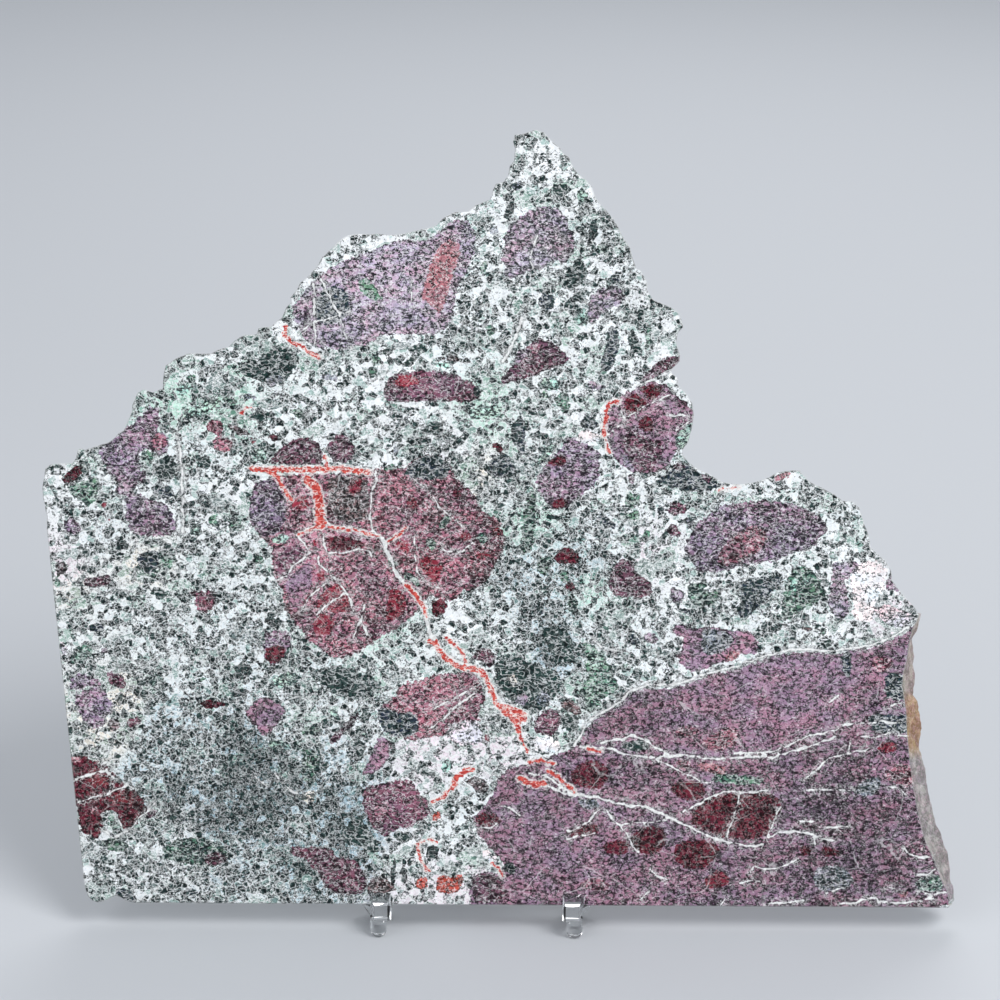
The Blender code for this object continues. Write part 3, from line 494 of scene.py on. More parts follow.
    ("navy", (46.3, 120.5, 48, 120.3, 49, 118.5, 48, 117, 46.8, 117.3)),
    ("maroon", (49.8, 121, 52, 121.5, 55, 120, 55.5, 118.3, 52, 117, 50, 117.5)),
    ("navy", (28.3, 117.3, 30.5, 117.7, 34, 114.3, 34.2, 113, 31, 113.3, 29.5, 115)),
    ("maroon", (49, 112.5, 51, 115, 53.5, 112.5, 54.5, 111, 51.5, 110.8)),
    ("ink", (47.8, 112, 48.8, 111.5, 49, 108.8, 48, 108.5)),
    ("purple", (37.5, 129.5, 39.5, 129.8, 40, 127.5, 38.5, 126.5)),
    ("maroon", (50, 132, 52.5, 133.3, 55, 132, 53, 130.5)),
    ("maroon", (59, 130, 63, 129, 62, 127.3, 60, 128)),
    ("grey", (54.5, 116.5, 57, 116.5, 57.5, 114, 55.5, 113)),
    ("lilac", (50, 94, 51, 95.5, 53, 95.5, 54.8, 94, 54.5, 92, 53, 90.8, 51, 91.2)),
    ("green", (56, 97, 58, 97, 60, 97.5, 63, 96.5, 60, 95.5, 62, 94, 65, 95, 65.5, 93, 64, 90.5, 60, 89.5,
        57, 91, 55.8, 93)),
    ("navy", (51.5, 89.5, 55, 89.3, 59, 88.7, 58.5, 88, 55, 87.8, 53, 88.5)),
    ("ink", (68, 98.5, 69, 98, 67.8, 95.5, 66.8, 98)),
    ("navy", (38, 79, 38.5, 81.5, 40, 81.5, 41, 80, 41.5, 78, 39, 77.8, 37.8, 78)),
    ("lilac", (42.5, 80, 43, 81.5, 45, 82.3, 47, 81, 46.5, 79, 44, 78.8)),
    ("pine", (36, 71.3, 37.5, 71.8, 41, 71.5, 39, 70.5, 36.5, 70.2)),
    ("pine", (20, 67.5, 22, 69, 23.5, 69.5, 23, 67.8, 20.5, 67)),
    ("mint", (25.5, 73, 27.5, 75.5, 30, 73.5, 29.5, 71, 27, 71)),
    ("grey", (60, 83, 64, 83.3, 69, 82, 70, 79, 66, 76.5, 62, 75, 60, 77)),
    ("coral", (66.5, 74.5, 69, 77, 71.5, 76.5, 71.5, 75, 69, 73.8)),
    # Right side
    ("coral", (81, 128, 82, 129.5, 84, 130.5, 87, 130.5, 86, 129, 83.5, 128, 82, 127.5)),
    ("pine", (82, 125.8, 84, 126.3, 86, 126.3, 85.5, 125.2, 83, 125.2)),
    ("rose", (64, 104, 68, 110, 75, 115, 80, 112, 78, 107, 72, 104, 67, 102)),
    ("grey", (93, 107, 94.5, 108, 97, 107.5, 95, 106.8)),
    ("green", (98, 106, 99, 107, 100, 106.5, 99, 105.5)),
    ("purple", (115.5, 99, 117, 100, 120, 97, 119, 94.5, 117, 95, 115, 96)),
    ("pinkish", (112, 90, 115, 91, 118, 90, 124, 88, 123, 86, 121, 84, 118, 84, 114, 86, 112, 88)),
    ("mint", (86.3, 96, 87, 98.7, 88.5, 98.5, 88.7, 96, 87.5, 94.8)),
    ("mint", (90, 98, 91.5, 99, 92.5, 97.5, 91, 96.5)),
    ("ink", (77.5, 84.5, 79.5, 84.8, 79.5, 82, 78.5, 81)),
    ("ink", (82, 84.5, 84, 84.5, 83, 82.5, 81.5, 83)),
    ("brown", (90, 84, 92, 84, 93.5, 83, 91.5, 82.5, 90, 83)),
    ("green", (96, 84.5, 97.5, 83.5, 97, 82, 95.5, 81.5)),
    ("pine", (96.5, 80, 98.5, 80.5, 100, 79.5, 98, 77.8, 95.5, 77.2)),
    # Left side
    ("brown", (-134.5, 101, -132, 102.5, -130, 101, -131, 98.5, -133, 98)),
    ("green", (-134.5, 97, -132.5, 97.5, -132, 95.5, -134, 94.5)),
    ("maroon", (-125, 97.5, -122, 97.5, -119, 98.5, -117.3, 97.5, -117.5, 95.5, -121, 94.5, -124, 94.5,
        -126, 95.5)),
    ("navy", (-124, 82.5, -122.5, 84, -119.5, 83.5, -119, 81, -122, 80.8, -124, 81.3)),
    ("purple", (-120.5, 75, -119.5, 77.2, -118, 76.5, -118.2, 74.8)),
    ("pinkish", (-133, 78, -131, 78, -130, 75.5, -131.5, 73.5)),
    ("maroon", (-118.5, 69, -116, 69.3, -113.5, 68, -112.5, 65.5, -114, 63.5, -116, 65, -118, 66.5)),
    ("cream", (-115, 62.5, -113.5, 63.5, -112, 62, -113, 60, -115, 60.5)),
    ("brown", (-118, 55, -115, 55.5, -114.5, 53, -116, 51.5, -118, 52.5)),
    ("maroon", (-112.5, 55, -109.5, 56, -107.5, 55, -109, 53, -112, 52.5)),
    ("pine", (-107.5, 58.5, -105, 59.5, -103, 57.5, -105, 56, -107, 56.5)),
    ("pine", (-110, 66, -106, 68, -103, 69, -104, 66.5, -107, 65)),
    ("wine", (-91, 60, -88, 61.5, -85, 60.5, -81, 60, -84, 59, -88, 58)),
    ("green", (-91.5, 67, -90, 68, -88, 67.5, -90, 66.5)),
    ("pine", (-106, 93.5, -104, 95, -101, 94, -100.5, 92, -103, 91)),
    ("rose", (-92, 90, -89, 91, -86, 91, -86.5, 88.5, -89, 87.3, -91.5, 88.5)),
    ("garnet", (-125, 39, -121, 40.5, -118, 38, -118, 35, -122, 35, -125, 36.5)),
    ("garnet", (-117, 33, -113, 33.5, -110, 32, -110, 29.5, -114, 29, -117, 30.5)),
    ("coral", (-123.5, 28.5, -121.5, 29.3, -120.5, 27.5, -122.5, 26.8)),
    ("coral", (-129.5, 43.5, -126.5, 44, -125.5, 42.3, -128.5, 41.8)),
    ("ink", (-116.5, 37.5, -115, 38.5, -113.5, 37, -114.5, 35.5, -116, 36)),
    ("green", (-118, 27, -116.5, 28, -115.5, 25, -114.5, 22.5, -116, 20.5, -117, 23)),
    ("green", (-119.5, 18, -117, 19.5, -113.5, 19.3, -111.5, 17, -112.5, 15.5, -116, 15.3, -118.5, 16.5)),
    ("maroon", (-107, 26.5, -104, 28.5, -102.5, 28, -104.5, 25.5, -106.5, 25.5)),
    ("pine", (-100, 27.5, -98.5, 29, -96.5, 28, -96.5, 25.5, -98.5, 24.5, -100, 25.5)),
    ("navy", (-96.5, 25.5, -94, 25.7, -93, 24.6, -95.5, 24)),
    ("maroon", (-88.5, 14, -86, 15.5, -83, 15, -81.5, 13, -84, 11.3, -88, 11.5)),
    ("ink", (-93, 16, -90, 17.5, -87.5, 16.5, -90, 15.3)),
    ("navy", (-95, 3.5, -93, 4.5, -90.5, 4, -91.5, 2, -94, 2)),
    # This navy patch over the chip at the left of the foot is painted shade: it darkens the flat face where
    # the chip's hollow would lie in shadow
    ("navy", (-115.3, 4.5, -112.5, 4.2, -109.5, 2.5, -108.8, 0, -112.5, -1, -116, 0)),
    # Lower middle
    ("mint", (-70, 66, -67, 68.5, -64, 69.5, -61, 69, -60.3, 67.5, -62, 66, -65, 65, -68, 65)),
    ("pine", (-63, 67.5, -61, 69, -60, 67.5, -61.5, 66)),
    ("ink", (-80, 71, -78, 72.5, -75, 71.5, -74.7, 69.5, -76, 68, -78, 66.8, -80, 68)),
    ("ink", (-81, 64, -77, 64.5, -76, 63.3, -79, 62, -81, 62)),
    ("wine", (-71, 76.5, -67, 78, -64.5, 76.5, -66, 73, -68.5, 71.8, -70.5, 73.2)),
    ("mint", (-52, 57.5, -50, 58.5, -48, 57.5, -50, 56)),
    ("pine", (-54, 54.5, -52.5, 56, -51.5, 53.5, -53, 53)),
    ("pine", (-42.5, 56, -41, 58, -38.5, 57.5, -40, 54.5, -42.5, 54.5)),
    ("green", (-44, 53.5, -42, 53, -40, 50.5, -42, 51)),
    ("pine", (-44.5, 48.5, -42, 49.5, -40.5, 48, -41, 44, -43, 43.5, -44, 46)),
    ("green", (-60, 52, -58, 53.5, -55, 54, -53.5, 52.5, -56, 51, -59, 50.8)),
    ("maroon", (-51.5, 50.5, -49, 52, -46, 55, -42, 58.5, -44.5, 54, -47, 51.5, -49, 48.5, -51, 48)),
    ("pine", (-54, 43.5, -51.5, 42.5, -52, 40.5, -54, 41)),
    ("mint", (-70.5, 47.5, -68.5, 49.5, -65, 49, -63, 47.5, -66, 46.5, -69, 46.5)),
    ("ink", (-70, 46, -66, 46, -62, 46.6, -65, 45, -69, 45)),
    ("navy", (-37, 59, -33, 58.5, -30, 57, -27, 58, -25, 56, -24.5, 52, -28, 50, -33, 50.5, -35.5, 52.5,
        -37, 55.5)),
    ("rose", (-37.5, 30, -34, 31, -33, 28, -35, 26, -38, 27)),
    ("brown", (-40, 3.5, -39, 8, -36, 9, -33, 7, -31, 4.5, -34, 3.2, -38, 3)),
    ("ink", (-33, 7, -32.5, 12, -31.8, 14.5, -31, 10, -31.5, 6)),
    ("ink", (-30, 7, -29.5, 13, -28.8, 14.5, -28, 9, -28.5, 5.5)),
    ("scarlet", (-19.5, 4.5, -19, 7.5, -17.5, 9, -14, 8.5, -11.5, 9.5, -11, 7.5, -12, 5, -13, 3.5, -16, 3.3,
        -18.5, 3.5)),
    ("scarlet", (-25.5, 7, -23.5, 8.5, -22, 8, -21.5, 5.5, -23.5, 4.5, -25.5, 5.5)),
    ("scarlet", (-20.5, 27, -18.5, 28.5, -17.8, 26.5, -19.5, 25, -20.5, 25)),
    ("pine", (-34, 20.5, -31, 21.5, -28, 22, -27, 20, -29, 18, -31, 19.5)),
    ("pine", (-49, 20, -46, 24, -43, 27, -41, 25, -39, 22, -36.5, 18, -36, 16, -39, 15, -42, 17, -46, 18)),
    ("cream", (-60, 32.5, -58, 34, -55.5, 34, -56, 30.5, -58.5, 30)),
    ("brown", (-11.5, 37.5, -8, 38.5, -5, 37.5, -3.3, 35.5, -4.5, 33.3, -7, 34, -9.5, 36)),
    ("pine", (-17, 29, -15.5, 30.5, -14, 32, -13.8, 30, -15, 28, -17, 28.3)),
    ("ink", (-11.5, 29, -9, 29, -7.5, 27.5, -9.5, 27)),
    ("mint", (-17.5, 43, -16, 44, -14.5, 43, -15, 40, -16.5, 39.5, -18, 41)),
    ("ink", (-15.2, 42.5, -13.8, 43.7, -13.8, 42.5, -15, 40.5)),
    ("ink", (-23, 16, -21, 18, -18.5, 17.5, -18.5, 14.5, -21, 13.5)),
    ("crimson", (-5.5, 50.5, -4.3, 51.5, -3.3, 49.5, -4.2, 48.3)),
    ("pine", (-3.7, 54, -2.5, 54.7, -1.7, 52.5, -3, 51.5)),
    ("maroon", (-9, 74, -8, 76, -5, 77.3, -3, 76.5, -2, 75, -1.7, 72.5, -3.5, 71, -5, 72.5, -7, 73.5)),
    ("cream", (1.5, 68, 2.5, 70, 4, 69, 5, 66.5, 4, 65, 2.5, 66)),
    ("grey", (10, 61.5, 12, 64.5, 14, 64, 14.5, 61, 12.5, 59.5)),
    ("lilac", (4, 61.5, 6, 64, 8, 62.5, 7.5, 60, 5.5, 60)),
    ("brown", (17, 60, 19.5, 62, 21, 62, 24, 59, 24.5, 57.5, 22, 57, 20, 58.5)),
    ("pine", (18, 56, 19.5, 58, 22, 57.5, 23.5, 55, 23, 53, 21, 52, 18.5, 53)),
    ("chalk", (9.5, 50.5, 15, 50.5, 17.5, 49, 18, 46.5, 14, 45.5, 10, 47)),
    ("chalk", (-5.5, 16, -3.5, 16.8, -1, 14.5, 0, 12.5, -1.5, 11.5, -3.5, 13, -5, 14)),
    # Inside the great mauve fragment
    ("maroon", (-8.5, 8, -5, 9.5, -1, 9, 1, 6, 2, 3, 0, 1, -4, 0.5, -7, 1, -8, 4)),
    ("wine", (-8, 26, -5, 28, -1, 27, 1, 25, -3, 23.5, -6, 24)),
    ("ink", (0.5, 12.5, 3, 13, 5, 12, 5, 10, 2, 9.5)),
    ("grey", (23.5, 31.8, 26, 32, 29, 31.5, 30, 29.5, 27, 28.8, 24, 29.5)),
    ("wine", (21, 40, 24, 43, 28, 44, 32, 42, 32.5, 39, 31, 35.5, 27, 35, 23, 36, 21, 38)),
    ("wine", (19, 22.5, 23, 23, 27, 25, 29.5, 24, 29, 21.5, 25, 20.5, 21, 20.5)),
    ("wine", (31, 19, 35, 20, 38.5, 19, 38, 15.5, 34, 15.5, 31, 16)),
    ("wine", (40, 22, 44, 24, 49, 23.5, 50, 20, 48, 16, 44, 15.5, 40, 17, 38.5, 20)),
    ("wine", (53, 19, 56, 19.5, 60, 20, 64, 19, 66, 17.5, 64, 14, 61, 11.5, 57, 11, 53, 13, 51.5, 16)),
    ("wine", (57, 26, 57.5, 29, 61, 31.5, 64, 33.5, 70, 34, 75, 34, 78, 35, 81, 34, 84, 32, 84.5, 29.5,
        83, 27, 81.5, 24, 80.5, 22, 77, 20.5, 72, 20.2, 67, 20.5, 62, 22.5, 58, 24)),
    ("wine", (51, 36, 54, 37.5, 58, 38, 61, 36.5, 61.5, 33, 58, 31.5, 55, 32, 52, 33.5)),
    ("crimson", (61, 8, 63, 9.5, 66, 11, 68.5, 9, 69, 7, 66, 5.5, 62, 5.5)),
    ("coral", (58.5, 42.5, 61, 43.2, 65, 42.8, 67.5, 41.5, 67, 39.5, 64, 40, 60, 41)),
    ("rose", (52, 42.5, 54, 44, 57, 43.5, 57, 41.5, 54, 41)),
    ("rose", (60, 49, 64, 52, 68, 54, 71, 53, 71, 50, 69, 47.5, 65, 46.5, 62, 47)),
    ("rose", (52, 52, 54, 54, 58, 54, 60, 52, 57, 51)),
    ("pine", (66, 35, 66.5, 36, 69.5, 36, 69.5, 34.8)),
    ("pine", (36, 47.5, 38, 49.5, 42, 50, 45, 48.5, 44, 47, 40, 46)),
    ("rose", (24, 6.5, 26, 8, 30, 8.5, 33, 7, 33, 5, 29, 4.5, 25, 5)),
    ("green", (62, 38.5, 66, 40, 72, 39.5, 79, 38.5, 79, 37, 72, 36.5, 66, 37)),
    ("navy", (102, 76, 104.5, 77, 105, 74, 105, 70, 103.5, 69, 102, 71, 102.5, 73.5)),
    ("rose", (111, 74, 114, 75.5, 117.5, 74.5, 117.5, 72, 115, 70.3, 112, 71)),
    ("navy", (115, 70, 118, 70.5, 121.5, 70, 122, 66, 122, 62.5, 118, 62, 115.5, 63, 115, 66)),
    ("navy", (110, 58, 114, 58, 118, 57.5, 122.5, 58.5, 123, 55, 122.5, 52.5, 117, 52, 112, 53, 110, 55.5)),
    ("rose", (115, 40, 118, 43, 123, 43, 124.5, 40, 124, 36, 119, 37, 116, 38)),
    ("crimson", (112, 48, 116, 50, 119, 49, 118, 46.5, 114, 46.5)),
    ("grey", (105, 34, 109, 38.5, 114, 39, 114, 36, 111, 33)),
    ("grey", (94, 11, 99, 13, 105, 11, 106, 7, 102, 5, 97, 4.5, 94, 7)),
    ("green", (124.5, 8, 127, 9.5, 131, 10.5, 133, 7.5, 132.5, 5, 128, 4.8, 125, 5.5)),
    ("coral", (119, 4, 121, 5, 123, 4.5, 122, 3.3, 120, 3.2)),
    ("wine", (90, 18.5, 93, 18, 93.5, 16, 90, 15)),
    ("wine", (95.5, 18, 99, 18, 102, 17, 102, 15.5, 97, 15.5)),
    ("chalk", (125.8, 17.7, 126.4, 18.4, 127, 17.7, 126.4, 17)),
]

# Veins, each with half its width and the points that it runs through
WHITE_VEINS = [
    (0.9, (-36, 109.5, -34.5, 106.5, -33, 102.5, -31.3, 98.5, -28.5, 95.8, -26, 93.3, -23.8, 90, -22.8, 86,
        -21.5, 81.5, -18.5, 77, -15, 73.5, -11, 72.5, -7, 70.5, -4.5, 68, -2.5, 64.5, 0, 61, 3, 58.5)),
    (0.35, (-38, 130, -38, 127, -39, 124, -39.5, 120, -39.7, 116, -39, 112.5, -37, 111, -35.5, 109)),
    (0.3, (-54.5, 115, -50, 113.5, -45, 113, -40, 111, -36.5, 110.5)),
    (0.3, (-54.5, 114, -58, 113, -61.5, 110.5, -59, 107.5, -57.8, 105.5, -60, 103.5, -63, 101.5, -64.5, 98.5,
        -68, 97)),
    (0.3, (-53.5, 111, -53, 107, -52.5, 105.3, -47, 105.5, -43, 106.5, -40, 106, -39, 104.5)),
    (0.3, (-55, 104.5, -55, 102, -52, 99.5, -49, 96.5, -47, 94, -45.5, 91, -44.5, 88)),
    (0.25, (-51.5, 98, -55, 94.5, -58, 92, -60, 88)),
    (0.25, (-57, 86, -52, 90, -48, 93)),
    (0.35, (-44.5, 80, -43.5, 83, -42, 86, -41.5, 90)),
    (0.3, (-42, 85, -40.5, 81)),
    (0.25, (-27, 128, -24, 125.5, -21, 123, -19, 119.5, -15, 116.5, -12, 113.5)),
    (0.25, (-19, 107.5, -16, 106, -12, 106, -9, 108.5)),
    (0.25, (-26.5, 111, -26, 105, -25.5, 100, -23, 97, -19, 95)),
    (0.35, (-57, 186, -56.5, 168)),
    (0.25, (-55, 187.5, -52, 182, -49.5, 177, -47.5, 171, -45.5, 166.5)),
    (0.25, (-46, 178, -52, 176, -58, 174, -61.5, 171)),
    (0.25, (-28, 187, -27.5, 180)),
    (0.4, (-97.8, 140, -96.5, 135, -96.2, 130, -96, 124, -95.6, 116, -96, 111)),
    (0.3, (8.5, 191, 8, 195, 9, 198, 10, 201)),
    (0.35, (40.5, 156.3, 46, 158.3, 50, 160.5, 54, 163)),
    (0.25, (36.3, 145.8, 40, 148.2, 43.5, 150.8)),
    (0.25, (34.5, 150, 36, 147, 37, 145, 32, 142, 30, 140.5)),
    (0.25, (45, 151, 51, 154)),
    (0.3, (50, 147.3, 58, 147.2)),
    (0.3, (52, 143, 57, 146)),
    (0.6, (0, 163, 3, 169, 5.5, 176)),
    (0.35, (-20, 59, -14, 62, -10, 64.5, -6, 66.5)),
    (0.3, (-22, 52.5, -17, 56, -13, 60, -8, 63.5)),
    (0.45, (22, 48, 26, 54.8, 29, 57.3, 33, 59.5, 36, 61.8, 39, 64.5, 44, 66.5, 50, 66.2, 55, 67.5, 60, 69.3,
        65, 71, 70, 72, 76, 74.3, 82, 76.3, 89, 77.3, 95, 77.2, 100, 76.7, 104, 77.8, 110, 78.6, 114, 79.8,
        118, 81.8, 122, 84)),
    (0.45, (30, 49, 35, 50, 40, 51, 44, 49.5, 47, 47.5, 50, 45.8)),
    (0.5, (24, 47.5, 30, 47.5, 34, 47, 37, 45.5, 42, 45, 47, 44.5, 55, 45.5, 60, 44.5, 66, 44.3, 72, 44.8,
        78, 45, 82, 45, 85, 46, 90, 47.5, 95, 49, 100, 51)),
    (0.3, (47, 44, 51, 42, 55, 39.8, 60, 37.5, 63, 37)),
    (0.3, (70, 46, 76, 46.3, 81, 46.3, 85, 48, 90, 50.5, 95, 52, 100, 53, 103, 55, 110, 55.2, 115, 56,
        119, 55.5, 122.5, 56)),
    (0.3, (108, 51.5, 112, 51.2, 117, 52.2, 122.5, 51.3)),
    (0.3, (98, 61, 101, 63.5)),
    (0.3, (115.5, 60, 118.5, 61, 122, 61)),
    (0.4, (100, 45.2, 104, 46, 110.5, 47.7)),
    (0.35, (100, 45.2, 96, 43, 94, 40.5, 91, 38.5)),
    (0.3, (103.5, 46, 105, 49)),
    (0.3, (92, 35, 100, 35.3, 106, 35)),
    (0.3, (98, 24, 104, 24.3)),
    (0.3, (90, 25.5, 96, 25.8)),
    (0.35, (84, 22.3, 90, 22.5, 94, 21.8, 97, 20.5, 100, 20)),
    (0.3, (94, 21.5, 94.5, 18.5)),
    (0.4, (120.5, 18, 124, 15.5, 128, 15.3, 131, 15)),
    (0.35, (125, 9.8, 128, 10, 131.5, 12.3)),
    (0.45, (102, 1, 106, 1.5, 110, 2.5, 112.5, 3, 114, 1.5, 118, 1.5, 124, 1.8, 127, 2.5, 130, 3)),
    (0.3, (98, 4, 103, 6.2)),
    (0.3, (116, 6, 120, 5.8)),
    (0.35, (125, 4.8, 130, 4.2, 134, 4.8)),
    (0.3, (117, 36, 120, 35.8, 121.5, 34)),
    (0.55, (8.5, 39.5, 12, 39, 15, 38, 18, 36, 20, 34.5, 22, 33.2, 25, 33.2, 29, 32.5, 33, 31.5, 36, 30.5,
        40, 30, 44, 29.8, 48, 28, 52, 26, 56, 24, 60, 22, 65, 20.3, 70, 18.7, 76, 18.3, 79, 19)),
    (0.3, (11, 37, 15, 35.5, 18, 34, 21, 33)),
    (0.4, (55, 28.5, 57, 29.5, 60, 31, 63, 33, 67, 34.4, 75, 34.5, 80, 34.8)),
    (0.35, (80, 21, 84, 22.3, 88, 23)),
    (0.3, (84, 30, 82, 26, 80.5, 22)),
    (0.3, (71.5, 34, 71, 30, 69.5, 26, 68, 21)),
    (0.35, (41, 16.5, 39.5, 18, 38, 21.5, 36, 24, 33.5, 26, 31.5, 29)),
    (0.3, (36, 24, 40, 25, 46, 25.3, 50, 25.8)),
    (0.35, (20, 22.5, 23, 23, 26, 25, 28, 27, 29.5, 28.8)),
    (0.3, (20, 20, 24, 21, 28, 22)),
    (0.25, (0.5, 29.5, 3, 29, 6, 26.8)),
    (0.25, (-6, 23.5, -3, 23, 0, 25)),
    (0.35, (75, 10, 76, 12, 80, 11.5, 84, 11.5, 86, 13, 89, 14.5)),
    (0.3, (72, 7, 76, 8, 78, 7.5)),
    (0.4, (80, 0.8, 84, 1.2, 88, 1.6, 91, 2.2)),
    (0.3, (66, 0.5, 67.5, 2.5)),
    (0.3, (45, 11, 47, 9, 50, 8)),
    (0.3, (42, 2, 45, 4.5)),
    (0.4, (-128.5, 36.5, -125, 38, -121, 39.5, -117, 39)),
    (0.35, (-127.5, 30, -124, 31, -118, 32.5, -115, 34, -112, 35.5, -110, 34)),
    (0.3, (-118.5, 40, -116, 37, -117.5, 33.5)),
    (0.3, (-120, 41, -117, 43, -115, 43)),
    (0.35, (-120, 22.5, -117.5, 20.5, -116.5, 19.5, -112, 21.5, -109.5, 23.5, -108.5, 25.5, -106.5, 27,
        -104, 29.5)),
    (0.3, (-114, 23, -115.5, 27)),
    (0.3, (-68, 39, -65, 35.5, -61, 33)),
    (0.3, (-74, 38, -70, 35)),
    (0.3, (36, 76.5, 31, 76.8, 27.5, 79.5)),
]
RED_VEINS = [
    (0.55, (-29, 95.8, -26, 93, -24, 90, -23, 86.5)),
    (0.75, (-75.5, 130.5, -70, 130.2, -62, 130.3, -55, 130.5, -50, 130.8, -44, 130, -40, 129.8)),
    (0.5, (-70, 129.8, -67.5, 128, -66, 125.5, -64.5, 123, -63.5, 121.5)),
    (1.2, (-59, 127.5, -56.5, 126, -55.5, 123, -55, 120, -54.6, 117, -54.5, 114)),
    (0.4, (-52.5, 131, -53.5, 134.5)),
    (0.3, (-61.5, 111, -57, 112.5, -54.5, 113.5, -50, 112.8, -45, 112.5, -41, 111.3, -37, 110.5)),
    (0.3, (-34, 109, -31, 111, -28.5, 113.3)),
    (0.5, (-65.5, 173, -65.5, 170.5, -64, 168.5, -61, 168, -59, 166.3, -57, 164.8, -55.2, 164)),
    (0.7, (-21.5, 79, -20, 78.5, -18.5, 76, -16, 73.5, -13, 71.7, -10, 71, -6, 70, -4.5, 68, -3.5, 66,
        -2.5, 63, -1, 60, 2, 57.5, 4, 56, 5, 53, 5.5, 51.5)),
    (0.5, (-16.5, 80, -14, 78, -12, 75.5, -10.5, 73)),
    (1.6, (1.5, 58.5, 4, 57.5, 6.5, 56.5)),
    (0.35, (5.5, 51.5, 7, 48.5, 8, 46)),
    (0.8, (-14.5, 35.5, -13, 38.5, -10.5, 40.5, -9, 40.5)),
    (0.5, (-14.5, 35.5, -17, 32.5, -20, 31)),
    (0.4, (-24.8, 18, -24.2, 14, -23, 11.5, -21.5, 10)),
    (0.35, (-24.8, 18, -22, 19.7, -19, 18.8)),
    (0.7, (5.5, 38, 8, 37, 10, 36.5, 13, 36.8)),
    (0.4, (14, 40.5, 17, 38.5, 20, 36, 22, 34.2)),
    (0.35, (8, 43, 12, 43.3, 16, 42.5)),
    (0.5, (35, 151.5, 32, 150.5, 30.8, 147.5, 30.3, 144, 30.3, 141)),
    (0.35, (31, 138.8, 32.2, 136)),
    (0.3, (65, 125, 71, 126)),
    (0.4, (-79, 147, -77, 148.5, -75, 149)),
    (0.35, (-2.5, 12.5, -0.5, 11, 1, 8.5)),
    (0.35, (26, 46.8, 30, 46.2)),
]

def slab_points(points):
    """World points, in metres, as rows of u, v and w in mm: across and up the face, and into the stone."""
    x, y, z = (np.asarray(points, float) / MM - np.array(SLAB_FOOT)).T
    return np.column_stack([x, y * SIN_LEAN + z * COS_LEAN, y * COS_LEAN - z * SIN_LEAN])


def world_points(rows):
    """The reverse of slab_points."""
    u, v, w = np.asarray(rows, float).T
    turned = np.column_stack([u, v * SIN_LEAN + w * COS_LEAN, v * COS_LEAN - w * SIN_LEAN])
    return (turned + np.array(SLAB_FOOT)) * MM


def slab_rings(node):
    """The rings of points that bound the CAD slab, face to back, clockwise from the right of its foot."""
    merged = bmesh.new()
    merged.from_mesh(node.data)
    bmesh.ops.remove_doubles(merged, verts=merged.verts, dist=1e-6)
    merged.verts.ensure_lookup_table()
    rows = slab_points([vert.co for vert in merged.verts])
    level = np.round(rows[:, 2], 1)
    rings = []
    for depth in np.unique(level):
        follow = {}
        for edge in merged.edges:
            a, b = (vert.index for vert in edge.verts)
            if level[a] != depth or level[b] != depth:
                continue
            caps = [
                face for face in edge.link_faces if all(level[vert.index] == depth for vert in face.verts)
            ]
            if len(caps) < 2:
                follow.setdefault(a, []).append(b)
                follow.setdefault(b, []).append(a)
        ends = [i for i in follow if len(follow[i]) == 1]
        if ends:  # a level with no points along the flat foot and left edge
            start = max(ends, key=lambda i: rows[i, 1])
        else:
            start = max(follow, key=lambda i: rows[i, 0] - 2 * rows[i, 1])
        ring = [start, min(follow[start], key=lambda i: rows[i, 0])]
        while True:
            onward = [i for i in follow[ring[-1]] if i not in (ring[-2], start)]
            if not onward:
                break
            ring.append(onward[0])
        if ends:
            ring = [ring[-1]] + foot_and_left + ring[:-1]
        else:
            foot_and_left = ring[1:corner_of(rows[ring])]
        rings.append(rows[ring])
    merged.free()
    first, last = rings[1], rings[-1]
    if len(last) < len(rings[0]):
        rings[-1] = np.concatenate([last[:1], first[1:corner_of(first)], last[corner_of(last):]])
    return rings


def corner_of(ring):
    """The number of the ring's point at the top of the sawn left edge."""
    return int(np.linalg.norm(ring[:, :2] - LEFT_CORNER, axis=1).argmin())


def slab_wall(rings):
    """The slab's wall as rows by columns of points, and which of the columns are broken."""
    reference = rings[1][:, :2]
    lengths = np.linalg.norm(np.roll(reference, -1, axis=0) - reference, axis=1)
    columns = []
    for i, length in enumerate(lengths):
        steps = max(1, round(length / PITCH))
        columns += [(i, k / steps) for k in range(steps)]
    at = np.array([i for i, _ in columns])
    share = np.array([t for _, t in columns])[:, None]
    curves = [ring[at] * (1 - share) + np.roll(ring, -1, axis=0)[at] * share for ring in rings]
    depths = [ring[0, 2] for ring in rings]
    grid = np.empty((len(WALL_ROWS), len(at), 3))
    for row, depth in enumerate(WALL_ROWS):
        low = min(np.searchsorted(depths, depth, side="right") - 1, len(rings) - 2)
        part = (depth - depths[low]) / (depths[low + 1] - depths[low])
        grid[row] = curves[low] * (1 - part) + curves[low + 1] * part
        grid[row, :, 2] = depth
    across, up, _ = curves[1].T
    foot = (up < FOOT_TOP) & (across < FOOT_RIGHT)
    left = across < LEFT_START[0] - (up - LEFT_START[1]) * LEFT_SLANT + LEFT_MARGIN
    return grid, ~(foot | left & (up < LEFT_CORNER[1]))


def roughen(grid, broken):
    """Crumbles the broken columns of the wall inward, and leaves the sawn ones flat."""
    ahead = np.roll(grid[1, :, :2], -1, axis=0) - np.roll(grid[1, :, :2], 1, axis=0)
    inward = np.column_stack([ahead[:, 1], -ahead[:, 0]]) / np.linalg.norm(ahead, axis=1)[:, None]
    for row in range(len(grid)):
        for column in np.flatnonzero(broken):
            place = Vector(grid[row, column])
            coarse = noise.noise(place * COARSE_CRUMBS) * 0.5 + 0.5
            fine = noise.noise(place * FINE_CRUMBS + FINE_SHIFT) * 0.5 + 0.5
            bite = (BITE * coarse + BITE * fine) * (EDGE_BITE if row < 2 else 1)
            grid[row, column, :2] += inward[column] * bite
    return grid


